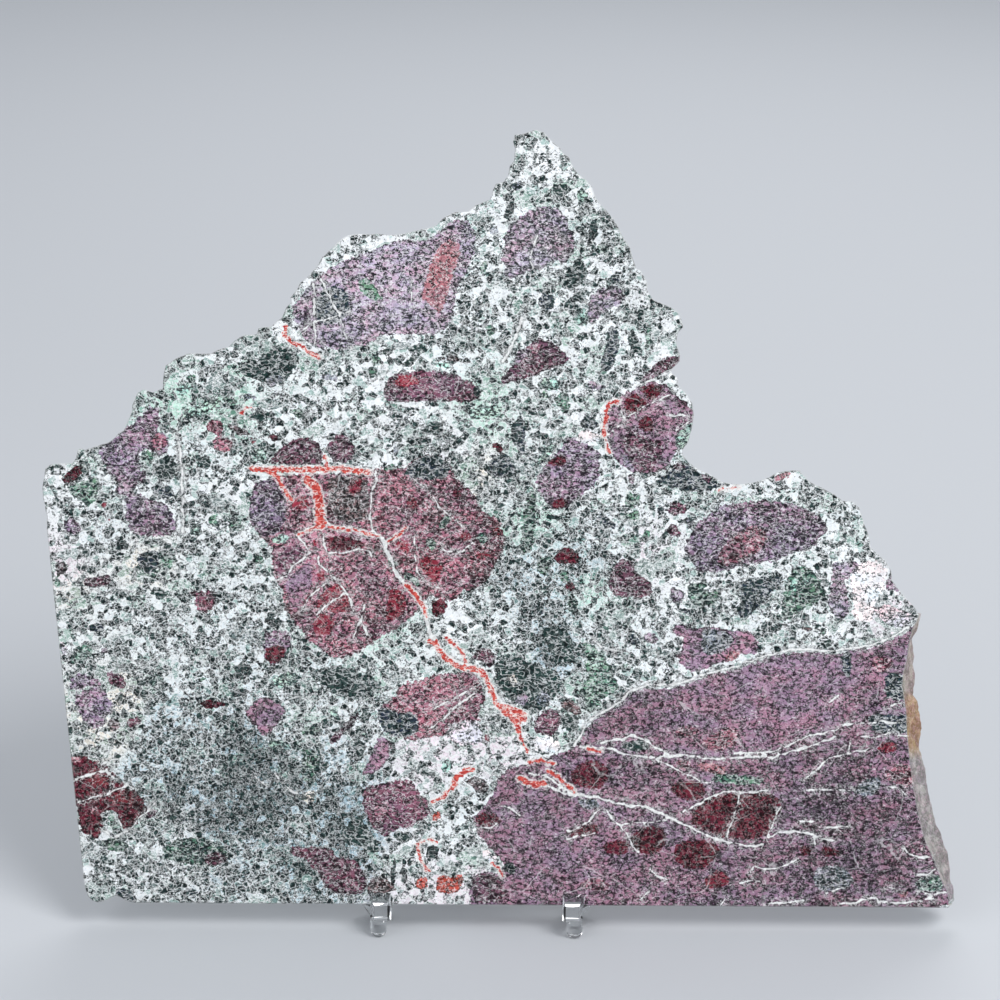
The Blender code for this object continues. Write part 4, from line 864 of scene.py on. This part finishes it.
def filled(outline, pitch, lines, seed):
    """A sheet of triangles inside the outline: its inner points, and faces over the outline and those."""
    draw = random.Random(seed)
    low, high = outline.min(axis=0), outline.max(axis=0)
    step = pitch * math.sqrt(3) / 2
    spots = []
    for j in range(int((high[1] - low[1]) / step) + 1):
        for i in range(int((high[0] - low[0]) / pitch) + 1):
            u = low[0] + (i + 0.5 * (j % 2) + draw.uniform(-JITTER, JITTER)) * pitch
            v = low[1] + j * step + draw.uniform(-JITTER, JITTER) * pitch
            spots.append((u, v))
    spots = np.array(spots)
    spots = spots[inside_distance(spots, outline) > pitch * RIM_GAP]

    # The lines' points that are well inside the outline, and the spots that keep clear of them
    near = np.full(len(spots), np.inf)
    vein_points, vein_edges = [], []
    for line in lines:
        kept = inside_distance(line, outline) > pitch * VEIN_RIM_GAP
        first = len(vein_points)
        vein_points += [tuple(point) for point in line]
        vein_edges += [(first + i, first + i + 1) for i in range(len(line) - 1) if kept[i] and kept[i + 1]]
        box = (spots > line.min(axis=0) - pitch).all(axis=1) & (spots < line.max(axis=0) + pitch).all(axis=1)
        gap = np.linalg.norm(spots[box][:, None] - line[None], axis=2).min(axis=1)
        near[box] = np.minimum(near[box], gap)
    spots = spots[near > pitch * VEIN_GAP]
    used = sorted({i for edge in vein_edges for i in edge})

    count = len(outline)
    place = {old: count + new for new, old in enumerate(used)}
    points = [Vector(p) for p in (*outline, *(vein_points[i] for i in used), *spots)]
    edges = [(i, (i + 1) % count) for i in range(count)]
    edges += [(place[a], place[b]) for a, b in vein_edges]
    verts, _, faces, origin, _, _ = delaunay_2d_cdt(points, edges, [], 1, 1e-5)
    index = []
    inner = []
    for vert, sources in zip(verts, origin):
        rim = [i for i in sources if i < count]
        if rim:
            index.append(rim[0])
        else:
            index.append(count + len(inner))
            inner.append(tuple(vert))
    return np.array(inner), np.array([[index[i] for i in face] for face in faces])


def edge_distance(points, starts, ends):
    """How far each point is from the nearest of the edges."""
    p = points[:, None]
    run = ends - starts
    along = ((p - starts) * run).sum(axis=2) / np.maximum((run**2).sum(axis=1), 1e-12)
    gap = p - (starts + np.clip(along, 0, 1)[..., None] * run)
    return np.sqrt((gap**2).sum(axis=2).min(axis=1))


def inside_distance(points, outline):
    """How far each point is inside the outline, and negative outside."""
    a = np.asarray(outline, float)
    b = np.roll(a, -1, axis=0)
    rise = np.where(b[:, 1] == a[:, 1], 1, b[:, 1] - a[:, 1])
    result = np.empty(len(points))
    for first in range(0, len(points), BATCH):
        some = np.asarray(points[first : first + BATCH], float)
        distance = edge_distance(some, a, b)
        u, v = some[:, :1], some[:, 1:]
        crosses = (a[:, 1] > v) != (b[:, 1] > v)
        left_of = u < a[:, 0] + (v - a[:, 1]) * (b[:, 0] - a[:, 0]) / rise
        odd = (crosses & left_of).sum(axis=1) % 2 == 1
        result[first : first + BATCH] = np.where(odd, distance, -distance)
    return result


def rounded(outline):
    """The outline with each corner cut off."""
    points = np.array(outline, float).reshape(-1, 2)
    after = np.roll(points, -1, axis=0)
    cuts = [points * (1 - CORNER_CUT) + after * CORNER_CUT, points * CORNER_CUT + after * (1 - CORNER_CUT)]
    return np.stack(cuts, axis=1).reshape(-1, 2)


def wandering(run, seed):
    """A vein's points, close together and a little off the straight."""
    points = np.array(run, float).reshape(-1, 2)
    line = [points[0]]
    for a, b in zip(points, points[1:]):
        steps = max(1, round(np.linalg.norm(b - a) / PITCH))
        line += [a + (b - a) * (k + 1) / steps for k in range(steps)]
    line = np.array(line)
    for i, (u, v) in enumerate(line):
        line[i, 0] += WANDER * noise.noise(Vector((u * WANDER_WAVES, v * WANDER_WAVES, seed)))
        line[i, 1] += WANDER * noise.noise(Vector((u * WANDER_WAVES, v * WANDER_WAVES, seed + 9)))
    return line


def wandering_veins(veins, widening, first_seed):
    """The veins as half widths and points."""
    numbered = enumerate(veins, first_seed)
    return [(half_width * widening, wandering(run, seed)) for seed, (half_width, run) in numbered]


# How widely the noise under the dark and the light specks spreads about its middle
DARK_SPREAD = 0.17
LIGHT_SPREAD = 0.105


def threshold(share, spread):
    """The noise value that a share of the surface lies under, from the logistic curve nearest to normal."""
    share = np.clip(share, 0.005, 0.995)
    return 0.5 + spread * np.log(share / (1 - share)) / 1.702


def linear(value):
    """A display value from 0 to 1 as the amount of light that it stands for."""
    return value / 12.92 if value < 0.04 else ((value + 0.055) / 1.055) ** 2.4


KIND_NAMES = list(KINDS)
KIND_COLOURS = np.array([[linear(value) for value in look[0]] for look in KINDS.values()])
KIND_SHARES = np.array([look[1:] for look in KINDS.values()])


def packed_look(colours, shares):
    """The two attributes that carry a look: colour with its net, and speck thresholds with the dark tint."""
    dark = threshold(shares[:, 0], DARK_SPREAD)
    light = threshold(1 - shares[:, 1], LIGHT_SPREAD)
    return np.column_stack([colours, shares[:, 2]]), np.column_stack([dark, light, shares[:, 3]])


def ground_look(points):
    """The ground's colours and shares at every point, after the places about it."""
    colours = np.zeros((len(points), 3))
    shares = np.zeros((len(points), 4))
    total = np.zeros(len(points))
    for name, spots in GROUND:
        kind = KIND_NAMES.index(name)
        for place in np.array(spots, float).reshape(-1, 2):
            weight = 1 / (((points - place) ** 2).sum(axis=1) + GROUND_BLEND) ** 2
            colours += weight[:, None] * KIND_COLOURS[kind]
            shares += weight[:, None] * KIND_SHARES[kind]
            total += weight
    return colours / total[:, None], shares / total[:, None]


def shading(points):
    """How much lighter or darker than its kinds the stone is about each point."""
    factor = np.ones(len(points))
    for u, v, radius, change in SHADES:
        factor += change * np.exp(-((points - (u, v)) ** 2).sum(axis=1) / radius**2)
    return factor[:, None] - 1


def fragment_look(points, fragments, seed):
    """Distance inside the nearest fragment, and its colours and shares, for every point."""
    draw = random.Random(seed)
    edge = np.full(len(points), FAR)
    colours = np.full((len(points), 3), 0.3)
    shares = np.full((len(points), 4), 0.2)
    for name, outline in fragments:
        shape = rounded(outline)
        low, high = shape.min(axis=0) - CLAST_REACH, shape.max(axis=0) + CLAST_REACH
        found = np.flatnonzero(((points > low) & (points < high)).all(axis=1))
        tone = draw.uniform(*TONES)
        if not len(found):
            continue
        inside = inside_distance(points[found], shape)
        taken = (inside > edge[found]) | (inside > 0)
        chosen = found[taken]
        edge[chosen] = np.maximum(edge[chosen], inside[taken])
        kind = KIND_NAMES.index(name)
        colours[chosen] = KIND_COLOURS[kind] * tone
        shares[chosen] = KIND_SHARES[kind]
    return edge, colours, shares


def vein_depth(points, veins):
    """How far each point is inside the nearest vein, and negative outside."""
    depth = np.full(len(points), FAR)
    for half_width, line in veins:
        low, high = line.min(axis=0) - VEIN_REACH, line.max(axis=0) + VEIN_REACH
        found = np.flatnonzero(((points > low) & (points < high)).all(axis=1))
        if len(found):
            gap = edge_distance(points[found], line[:-1], line[1:])
            depth[found] = np.maximum(depth[found], half_width - gap)
    return depth


white_lines = wandering_veins(WHITE_VEINS, WHITE_WIDENING, 0)
red_lines = wandering_veins(RED_VEINS, RED_WIDENING, 500)
vein_lines = [line for _, line in white_lines + red_lines]

wall, broken = slab_wall(slab_rings(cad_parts["marble_slab"]))
wall = roughen(wall, broken)
row_count, column_count = wall.shape[:2]
face_inner, face_faces = filled(wall[0, :, :2][::-1], PITCH, vein_lines, 11)
back_inner, back_faces = filled(wall[-1, :, :2][::-1], BACK_PITCH, [], 12)

# Rows of the wall first, then the inner points of the face and of the back
face_start = row_count * column_count
back_start = face_start + len(face_inner)
face_points = np.column_stack([face_inner, np.zeros(len(face_inner))])
back_points = np.column_stack([back_inner, np.full(len(back_inner), THICKNESS)])
rows = np.concatenate([wall.reshape(-1, 3), face_points, back_points])


def joined(faces, rim_start, inner_start):
    """A sheet's faces over the wall's own points, which run the other way, and the sheet's inner points."""
    rim = rim_start + column_count - 1 - np.minimum(faces, column_count - 1)
    return np.where(faces < column_count, rim, faces - column_count + inner_start)


face_faces = joined(face_faces, 0, face_start)
back_faces = joined(back_faces, face_start - column_count, back_start)[:, ::-1]
POLISHED, SAWN, WEATHERED = 0, 1, 2
wall_faces = []
wall_finish = []
for row in range(row_count - 1):
    for column in range(column_count):
        after = (column + 1) % column_count
        a, b = row * column_count + column, row * column_count + after
        wall_faces.append((a, b, b + column_count, a + column_count))
        wall_finish.append(WEATHERED if broken[column] and broken[after] and row else SAWN)

slab_mesh = bpy.data.meshes.new("breccia_slab")
slab_mesh.from_pydata(world_points(rows).tolist(), [], wall_faces + face_faces.tolist() + back_faces.tolist())
finishes = wall_finish + [POLISHED] * len(face_faces) + [SAWN] * len(back_faces)
slab_mesh.polygons.foreach_set("material_index", np.array(finishes, np.int32))


def add_attribute(name, kind, values):
    """Stores a value of the kind at each of the slab's points, for the materials."""
    field = {"FLOAT": "value", "FLOAT_VECTOR": "vector", "FLOAT_COLOR": "color"}[kind]
    made = slab_mesh.attributes.new(name, kind, "POINT")
    made.data.foreach_set(field, np.ascontiguousarray(values, np.float32).ravel())


marks = rows[:, :2] + rows[:, 2:] * np.array(DRIFT)
clast_edge, *clast_look = fragment_look(marks, CLASTS, 21)
patch_edge, *patch_look = fragment_look(marks, PATCHES, 22)
change = shading(marks)
for name, (colours, shares), shaded in (
    ("ground", ground_look(marks), GROUND_SHADING),
    ("clast", clast_look, 1),
    ("patch", patch_look, 1),
):
    tinted, specks = packed_look(colours * (1 + change * shaded), shares)
    specks[:, :1] -= SPECK_SHADING * change
    add_attribute(name + "_colour", "FLOAT_COLOR", tinted)
    add_attribute(name + "_specks", "FLOAT_VECTOR", specks)
add_attribute("clast_edge", "FLOAT", clast_edge)
add_attribute("patch_edge", "FLOAT", patch_edge)
add_attribute("white_vein", "FLOAT", vein_depth(marks, white_lines))
add_attribute("red_vein", "FLOAT", vein_depth(marks, red_lines))

# Rusty limonite on the broken right side, from LIMONITE_LOW up, and fainter above LIMONITE_HIGH
LIMONITE_LEFT, LIMONITE_LOW, LIMONITE_HIGH = 118, 44, 66
LIMONITE_FAINT = 0.25
limonite = np.clip((rows[:, 0] - LIMONITE_LEFT) / 2, 0, 1) * np.clip((rows[:, 1] - LIMONITE_LOW) / 4, 0, 1)
limonite *= np.clip((LIMONITE_HIGH - rows[:, 1]) / 4, LIMONITE_FAINT, 1)
add_attribute("limonite", "FLOAT", limonite)

slab = bpy.data.objects.new("breccia_slab", slab_mesh)
scene.collection.objects.link(slab)

# Linear colours of what the pattern lays over the fragments and the ground. A pair is the ends of a range.
FRAGMENT_HUES = (0.88, 0.98, 1.02, 1), (1.12, 0.97, 0.95, 1)
LEAF_GREENS = (0.05, 0.10, 0.10, 1), (0.30, 0.50, 0.40, 1)
GREEN_TINT = (0.34, 0.50, 0.45)
BLACK_GREENS = (0.002, 0.006, 0.007, 1), (0.045, 0.090, 0.085, 1)
HAIRLINE_WHITE = (0.93, 0.95, 0.95, 1)
VEIN_SHADOW = (0.02, 0.02, 0.025, 1)
CALCITE = (0.90, 0.91, 0.90, 1)
STAINED_CALCITE = (0.20, 0.19, 0.20, 1)
BLOOD_REDS = (0.42, 0.03, 0.03, 1), (0.74, 0.12, 0.09, 1)
RED_VEIN_GLINT = (0.90, 0.74, 0.70, 1)
RED_VEIN_BORDER = (0.90, 0.86, 0.84, 1)
SAWDUST = (0.52, 0.53, 0.52, 1)
CRUSTS = (0.62, 0.61, 0.56, 1), (0.30, 0.29, 0.27, 1)
OCHRES = (0.62, 0.42, 0.20, 1), (0.36, 0.20, 0.09, 1)
WHITE = (1, 1, 1, 1)


def put(tree, kind, inputs=(), **settings):
    """A node with its settings, and its inputs by name or number, from values or other nodes' outputs."""
    made = tree.nodes.new("ShaderNode" + kind)
    for name, value in settings.items():
        setattr(made, name, value)
    for name, value in dict(inputs).items():
        if isinstance(value, bpy.types.NodeSocket):
            tree.links.new(value, made.inputs[name])
        else:
            made.inputs[name].default_value = value
    return made


def reading(tree, name, output="Fac"):
    """The value of one of the slab's attributes."""
    return put(tree, "Attribute", attribute_name=name).outputs[output]


def maths(tree, operation, *values):
    """One sum on values or sockets."""
    return put(tree, "Math", enumerate(values), operation=operation).outputs[0]


def times(tree, first, *others):
    """The product of the values."""
    for value in others:
        first = maths(tree, "MULTIPLY", first, value)
    return first


def graded(tree, share, start, end):
    """The value that goes from start to end as the share goes from 0 to 1."""
    return maths(tree, "MULTIPLY_ADD", share, end - start, start)


def swung(tree, wave, amount, base):
    """The base, moved up or down as the wave is above or below its middle of 0.5."""
    return maths(tree, "MULTIPLY_ADD", maths(tree, "SUBTRACT", wave, 0.5), amount, base)


def off_middle(tree, wave):
    """How far the wave is from its middle."""
    return maths(tree, "ABSOLUTE", maths(tree, "SUBTRACT", wave, 0.5))


def step_up(tree, value, low, high):
    """0 below low, 1 above high, and smooth in between. Low and high may be sockets."""
    ends = {"Value": value, "From Min": low, "From Max": high}
    return put(tree, "MapRange", ends, interpolation_type="SMOOTHSTEP").outputs["Result"]


def reverse(tree, share):
    """1 where the share is 0, and 0 where it is 1."""
    return maths(tree, "SUBTRACT", 1, share)


def step_down(tree, value, low, high):
    """1 below low, 0 above high, and smooth in between."""
    return reverse(tree, step_up(tree, value, low, high))


def blend(tree, share, a, b, kind="RGBA"):
    """A mix of two colours, vectors or values."""
    first, second, out = {"FLOAT": (2, 3, 0), "VECTOR": (4, 5, 1), "RGBA": (6, 7, 2)}[kind]
    return put(tree, "Mix", {0: share, first: a, second: b}, data_type=kind, clamp_factor=True).outputs[out]


def vector_maths(tree, operation, inputs):
    """One sum on vectors or colours."""
    return put(tree, "VectorMath", inputs, operation=operation).outputs[0]


def split(tree, colour):
    """The three channels of a colour."""
    return put(tree, "SeparateColor", {"Color": colour}).outputs


def waves(tree, place, scale, detail, roughness):
    """A noise with about scale waves to a metre: its one value, Fac, and its three as a colour, Color."""
    settings = {"Vector": place, "Scale": scale, "Detail": detail, "Roughness": roughness}
    return put(tree, "TexNoise", settings).outputs


def cells(tree, place, scale):
    """Three values that differ from cell to cell, with about scale cells to a metre."""
    return split(tree, put(tree, "TexVoronoi", {"Vector": place, "Scale": scale}).outputs["Color"])


def seams(tree, place, scale):
    """How far it is to the nearest side of such a cell."""
    made = put(tree, "TexVoronoi", {"Vector": place, "Scale": scale}, feature="DISTANCE_TO_EDGE")
    return made.outputs["Distance"]


def layered(tree, clast, patch, look, output, kind):
    """An attribute of the ground, of the fragments over it, and of the patches over those."""
    under, middle, top = (reading(tree, f"{layer}_{look}", output) for layer in ("ground", "clast", "patch"))
    return blend(tree, patch, blend(tree, clast, under, middle, kind), top, kind)


def breccia_group():
    """The stone's pattern, from the attributes on the slab: its colour, and a fine grain for the finishes."""
    tree = bpy.data.node_groups.new("breccia pattern", "ShaderNodeTree")
    tree.interface.new_socket("Position", in_out="INPUT", socket_type="NodeSocketVector")
    tree.interface.new_socket("Color", in_out="OUTPUT", socket_type="NodeSocketColor")
    tree.interface.new_socket("Grain", in_out="OUTPUT", socket_type="NodeSocketFloat")
    place = tree.nodes.new("NodeGroupInput").outputs["Position"]

    # The waves and cells that the markings are made of, some on places shaken or bent by other waves
    warp = waves(tree, place, scale=420, detail=3, roughness=0.65)["Color"]
    wavy = split(tree, warp)
    laid = vector_maths(tree, "MULTIPLY", {0: place, 1: (0.62, 1, 1)})
    shaken = vector_maths(tree, "MULTIPLY_ADD", {0: warp, 1: (0.0022, 0.0022, 0.0022), 2: place})
    bent = vector_maths(tree, "MULTIPLY_ADD", {0: warp, 1: (0.0011, 0.0011, 0.0011), 2: laid})
    ragged = waves(tree, place, scale=700, detail=2, roughness=0.6)["Fac"]
    broad = waves(tree, place, scale=110, detail=2, roughness=0.6)["Fac"]
    fine = split(tree, waves(tree, laid, scale=1450, detail=2, roughness=0.7)["Color"])
    curl = split(tree, waves(tree, laid, scale=680, detail=2, roughness=0.6)["Color"])
    drift = split(tree, waves(tree, laid, scale=170, detail=3, roughness=0.6)["Color"])
    shard = cells(tree, shaken, scale=500)
    grit = cells(tree, shaken, scale=1450)
    block = cells(tree, bent, scale=210)
    short_seam = seams(tree, shaken, scale=500)
    long_seam = seams(tree, bent, scale=95)

    # Where the fragments are, with ragged edges, and what they and the ground are like
    clast_edge = swung(tree, ragged, 3.2, reading(tree, "clast_edge"))
    patch_edge = swung(tree, ragged, 2.2, reading(tree, "patch_edge"))
    clast = step_up(tree, clast_edge, -0.08, 0.08)
    patch = step_up(tree, patch_edge, -0.08, 0.08)
    within = maths(tree, "MAXIMUM", clast, patch)
    between = reverse(tree, within)
    near = maths(tree, "MAXIMUM", clast_edge, patch_edge)
    rim = times(tree, step_up(tree, near, -0.75, -0.3), between)
    colour = layered(tree, clast, patch, "colour", "Color", "RGBA")
    net = layered(tree, clast, patch, "colour", "Alpha", "FLOAT")
    specks = layered(tree, clast, patch, "specks", "Vector", "VECTOR")
    dark_level, light_level, own_tint = put(tree, "SeparateXYZ", {"Vector": specks}).outputs

    # Dark shards and grit, which are finer inside the fragments than between them
    level = swung(tree, grit[0], 0.22, 0.5)
    level = swung(tree, shard[0], graded(tree, within, 0.64, 0.16), level)
    level = swung(tree, fine[0], graded(tree, within, 0.45, 1), level)
    level = swung(tree, broad, 0.12, level)
    level = maths(tree, "MULTIPLY_ADD", rim, 0.1, level)
    filament = maths(tree, "MULTIPLY_ADD", off_middle(tree, curl[0]), 2.25, -0.18)
    weave = graded(tree, within, 0.5, 1)
    level = times(tree, maths(tree, "SUBTRACT", level, 0.5), graded(tree, weave, 1, 0.6))
    level = maths(tree, "ADD", maths(tree, "MULTIPLY_ADD", filament, weave, 0.5), level)
    fissure = step_down(tree, short_seam, 0.02, 0.09)
    level = maths(tree, "SUBTRACT", level, times(tree, fissure, within, 0.16))
    fringe = times(tree, step_down(tree, near, 0.1, 0.6), within)
    level = maths(tree, "MULTIPLY_ADD", fringe, -0.1, level)
    etched = step_down(tree, off_middle(tree, wavy[0]), 0.006, 0.022)
    level = maths(tree, "MULTIPLY_ADD", etched, -0.2, level)
    soft = maths(tree, "SUBTRACT", dark_level, 0.03), maths(tree, "ADD", dark_level, 0.03)
    dark = step_down(tree, level, *soft)

    # Pale specks, hairlines round the shards, and longer ones through the fragments
    light = step_up(tree, fine[1], light_level, maths(tree, "ADD", light_level, 0.05))
    strand = step_down(tree, off_middle(tree, curl[1]), times(tree, net, 0.5), net)
    glint = maths(tree, "MAXIMUM", light, strand)
    hairline = times(tree, fissure, between, step_up(tree, fine[2], 0.42, 0.5))
    hairline = times(tree, hairline, step_up(tree, net, 0.005, 0.025))
    thread = times(tree, strand, graded(tree, within, 0.55, 0.75))
    reach = step_down(tree, long_seam, 0.004, 0.011)
    reach = times(tree, reach, step_up(tree, drift[2], 0.45, 0.6), 0.7, within)
    wisp = step_down(tree, off_middle(tree, wavy[1]), 0.004, 0.018)
    wisp = times(tree, wisp, graded(tree, within, 0.9, 0.3))
    for line in (thread, reach, wisp):
        hairline = maths(tree, "MAXIMUM", hairline, line)

    # The stone's body, which changes in tone and hue from place to place, with green blocks and shards
    tone = swung(tree, shard[2], 0.22, 1)
    tone = swung(tree, grit[2], 0.3, tone)
    tone = swung(tree, broad, 0.5, tone)
    tone = swung(tree, drift[0], times(tree, within, 0.6), tone)
    hue = blend(tree, within, WHITE, blend(tree, step_up(tree, drift[1], 0.35, 0.65), *FRAGMENT_HUES))
    colour = vector_maths(tree, "MULTIPLY", {0: colour, 1: hue})
    colour = vector_maths(tree, "SCALE", {0: colour, "Scale": tone})
    green_block = times(tree, step_up(tree, block[2], 0.70, 0.72), between)
    colour = blend(tree, times(tree, green_block, 0.8), colour, blend(tree, block[0], *LEAF_GREENS))
    greened = vector_maths(tree, "MULTIPLY", {0: colour, 1: GREEN_TINT})
    green_shard = times(tree, maths(tree, "GREATER_THAN", shard[1], 0.76), between)
    colour = blend(tree, times(tree, green_shard, 0.85), colour, greened)

    # Its pale specks and threads, its dark specks, and the hairlines over them
    paleness = maths(tree, "POWER", grit[1], 2.5)
    own_dark = vector_maths(tree, "SCALE", {0: colour, "Scale": graded(tree, paleness, 0.04, 0.22)})
    deep = blend(tree, own_tint, blend(tree, paleness, *BLACK_GREENS), own_dark)
    bright = blend(tree, graded(tree, within, 0.9, 0.65), colour, HAIRLINE_WHITE)
    colour = blend(tree, glint, colour, bright)
    colour = blend(tree, dark, colour, deep)
    colour = blend(tree, times(tree, hairline, 0.85), colour, bright)

    # White veins, with a dark seam and feathers beside them
    white = swung(tree, wavy[0], 1.2, reading(tree, "white_vein"))
    white = swung(tree, ragged, 1.2, white)
    shadow = times(tree, step_up(tree, white, -0.7, -0.2), 0.4)
    colour = blend(tree, shadow, colour, VEIN_SHADOW)
    feather = step_down(tree, off_middle(tree, wavy[2]), 0.008, 0.03)
    feather = times(tree, feather, step_up(tree, white, -2.2, -0.2), 0.6)
    colour = blend(tree, feather, colour, CALCITE)
    chalk = blend(tree, times(tree, dark, 0.25), CALCITE, STAINED_CALCITE)
    colour = blend(tree, step_up(tree, white, -0.08, 0.12), colour, chalk)

    # Red veins, with a pale broken border
    red = swung(tree, ragged, 2.2, reading(tree, "red_vein"))
    border = times(tree, step_up(tree, red, -0.75, -0.4), step_up(tree, fine[1], 0.4, 0.52), 0.75)
    colour = blend(tree, border, colour, RED_VEIN_BORDER)
    blood = blend(tree, step_up(tree, fine[2], 0.4, 0.6), *BLOOD_REDS)
    blood = blend(tree, glint, blood, RED_VEIN_GLINT)
    colour = blend(tree, step_up(tree, red, -0.1, 0.12), colour, blood)

    out = tree.nodes.new("NodeGroupOutput")
    tree.links.new(colour, out.inputs["Color"])
    tree.links.new(fine[0], out.inputs["Grain"])
    return tree


breccia = breccia_group()


def stone(name):
    """The slab's next material, which starts with the pattern: its tree, shader, pattern and place."""
    made = bpy.data.materials.new(name)
    made.use_nodes = True
    slab_mesh.materials.append(made)
    tree = made.node_tree
    place = tree.nodes.new("ShaderNodeTexCoord").outputs["Object"]
    pattern = tree.nodes.new("ShaderNodeGroup")
    pattern.node_tree = breccia
    tree.links.new(place, pattern.inputs["Position"])
    return tree, tree.nodes["Principled BSDF"], pattern.outputs, place


def relief(tree, shader, height, strength, distance):
    """Lets a height roughen the surface."""
    made = put(tree, "Bump", {"Strength": strength, "Distance": distance, "Height": height})
    tree.links.new(made.outputs["Normal"], shader.inputs["Normal"])


# The three finishes, in the order of POLISHED, SAWN and WEATHERED
tree, shader, pattern, place = stone("polished breccia")
tree.links.new(pattern["Color"], shader.inputs["Base Color"])
shine = put(tree, "MapRange", {"Value": pattern["Grain"], "To Min": 0.22, "To Max": 0.42})
tree.links.new(shine.outputs["Result"], shader.inputs["Roughness"])
relief(tree, shader, pattern["Grain"], strength=0.12, distance=0.0001)
shader.inputs["Specular IOR Level"].default_value = 0.2

tree, shader, pattern, place = stone("sawn breccia")
tree.links.new(blend(tree, 0.38, pattern["Color"], SAWDUST), shader.inputs["Base Color"])
shader.inputs["Roughness"].default_value = 0.8
scratch = waves(tree, place, scale=700, detail=2, roughness=0.5)["Fac"]
relief(tree, shader, scratch, strength=0.3, distance=0.0002)

tree, shader, pattern, place = stone("broken breccia")
worn = waves(tree, place, scale=260, detail=3, roughness=0.65)["Fac"]
crust = blend(tree, step_up(tree, worn, 0.35, 0.6), *CRUSTS)
ochre = blend(tree, step_up(tree, worn, 0.4, 0.6), *OCHRES)
crust = blend(tree, reading(tree, "limonite"), crust, ochre)
tree.links.new(blend(tree, 0.6, pattern["Color"], crust), shader.inputs["Base Color"])
shader.inputs["Roughness"].default_value = 0.85
relief(tree, shader, worn, strength=0.6, distance=0.0006)

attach(slab, "root")
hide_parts("marble_slab")

# ---------------------------------------------------------------------------------------------------------
# The easel: clear acrylic cut from sheet and bent warm. Two arms with upturned lips and round pegs carry the
# slab's foot, and a back plate with a glued leg holds it up.
ACRYLIC_TINT = (0.97, 0.985, 0.99, 1)
SHARP = math.radians(35)  # edges sharper than this are eased
FLAT = math.radians(0.5)  # faces closer than this to one plane are made one
SORT_WAY = Vector((7, 3, 1))  # the triangles are put in order along this, so that each run gives the same one

# Node, piece, how far its edges are eased, in mm, and whether it has bent faces to shade smooth
EASEL = [
    ("easel_arm_left", "acrylic_arm_left", 0.16, True),
    ("easel_arm_right", "acrylic_arm_right", 0.16, True),
    ("easel_back", "acrylic_back", 0.35, False),
    ("easel_leg", "acrylic_leg", 0.35, False),
]

acrylic = bpy.data.materials.new("clear acrylic")
acrylic.use_nodes = True
shader = acrylic.node_tree.nodes["Principled BSDF"]
shader.inputs["Base Color"].default_value = ACRYLIC_TINT
shader.inputs["Roughness"].default_value = 0.03
shader.inputs["Transmission Weight"].default_value = 1
shader.inputs["IOR"].default_value = 1.49

for node_name, name, easing, is_bent in EASEL:
    eased = bmesh.new()
    eased.from_mesh(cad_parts[node_name].data)
    bmesh.ops.remove_doubles(eased, verts=eased.verts, dist=1e-6)
    bmesh.ops.dissolve_limit(eased, angle_limit=FLAT, verts=eased.verts, edges=eased.edges)
    corners = [edge for edge in eased.edges if edge.is_manifold and edge.calc_face_angle() > SHARP]
    bmesh.ops.bevel(eased, geom=corners, offset=easing * MM, segments=2, profile=0.5, affect="EDGES",
                    clamp_overlap=True)
    bmesh.ops.triangulate(eased, faces=eased.faces)
    eased.faces.sort(key=lambda face: face.calc_center_median().dot(SORT_WAY))
    mesh = bpy.data.meshes.new(name)
    eased.to_mesh(mesh)
    eased.free()
    mesh.polygons.foreach_set("use_smooth", np.full(len(mesh.polygons), is_bent))
    mesh.set_sharp_from_angle(angle=SHARP)
    mesh.materials.append(acrylic)
    piece = bpy.data.objects.new(name, mesh)
    scene.collection.objects.link(piece)
    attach(piece, "root")
    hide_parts(node_name)
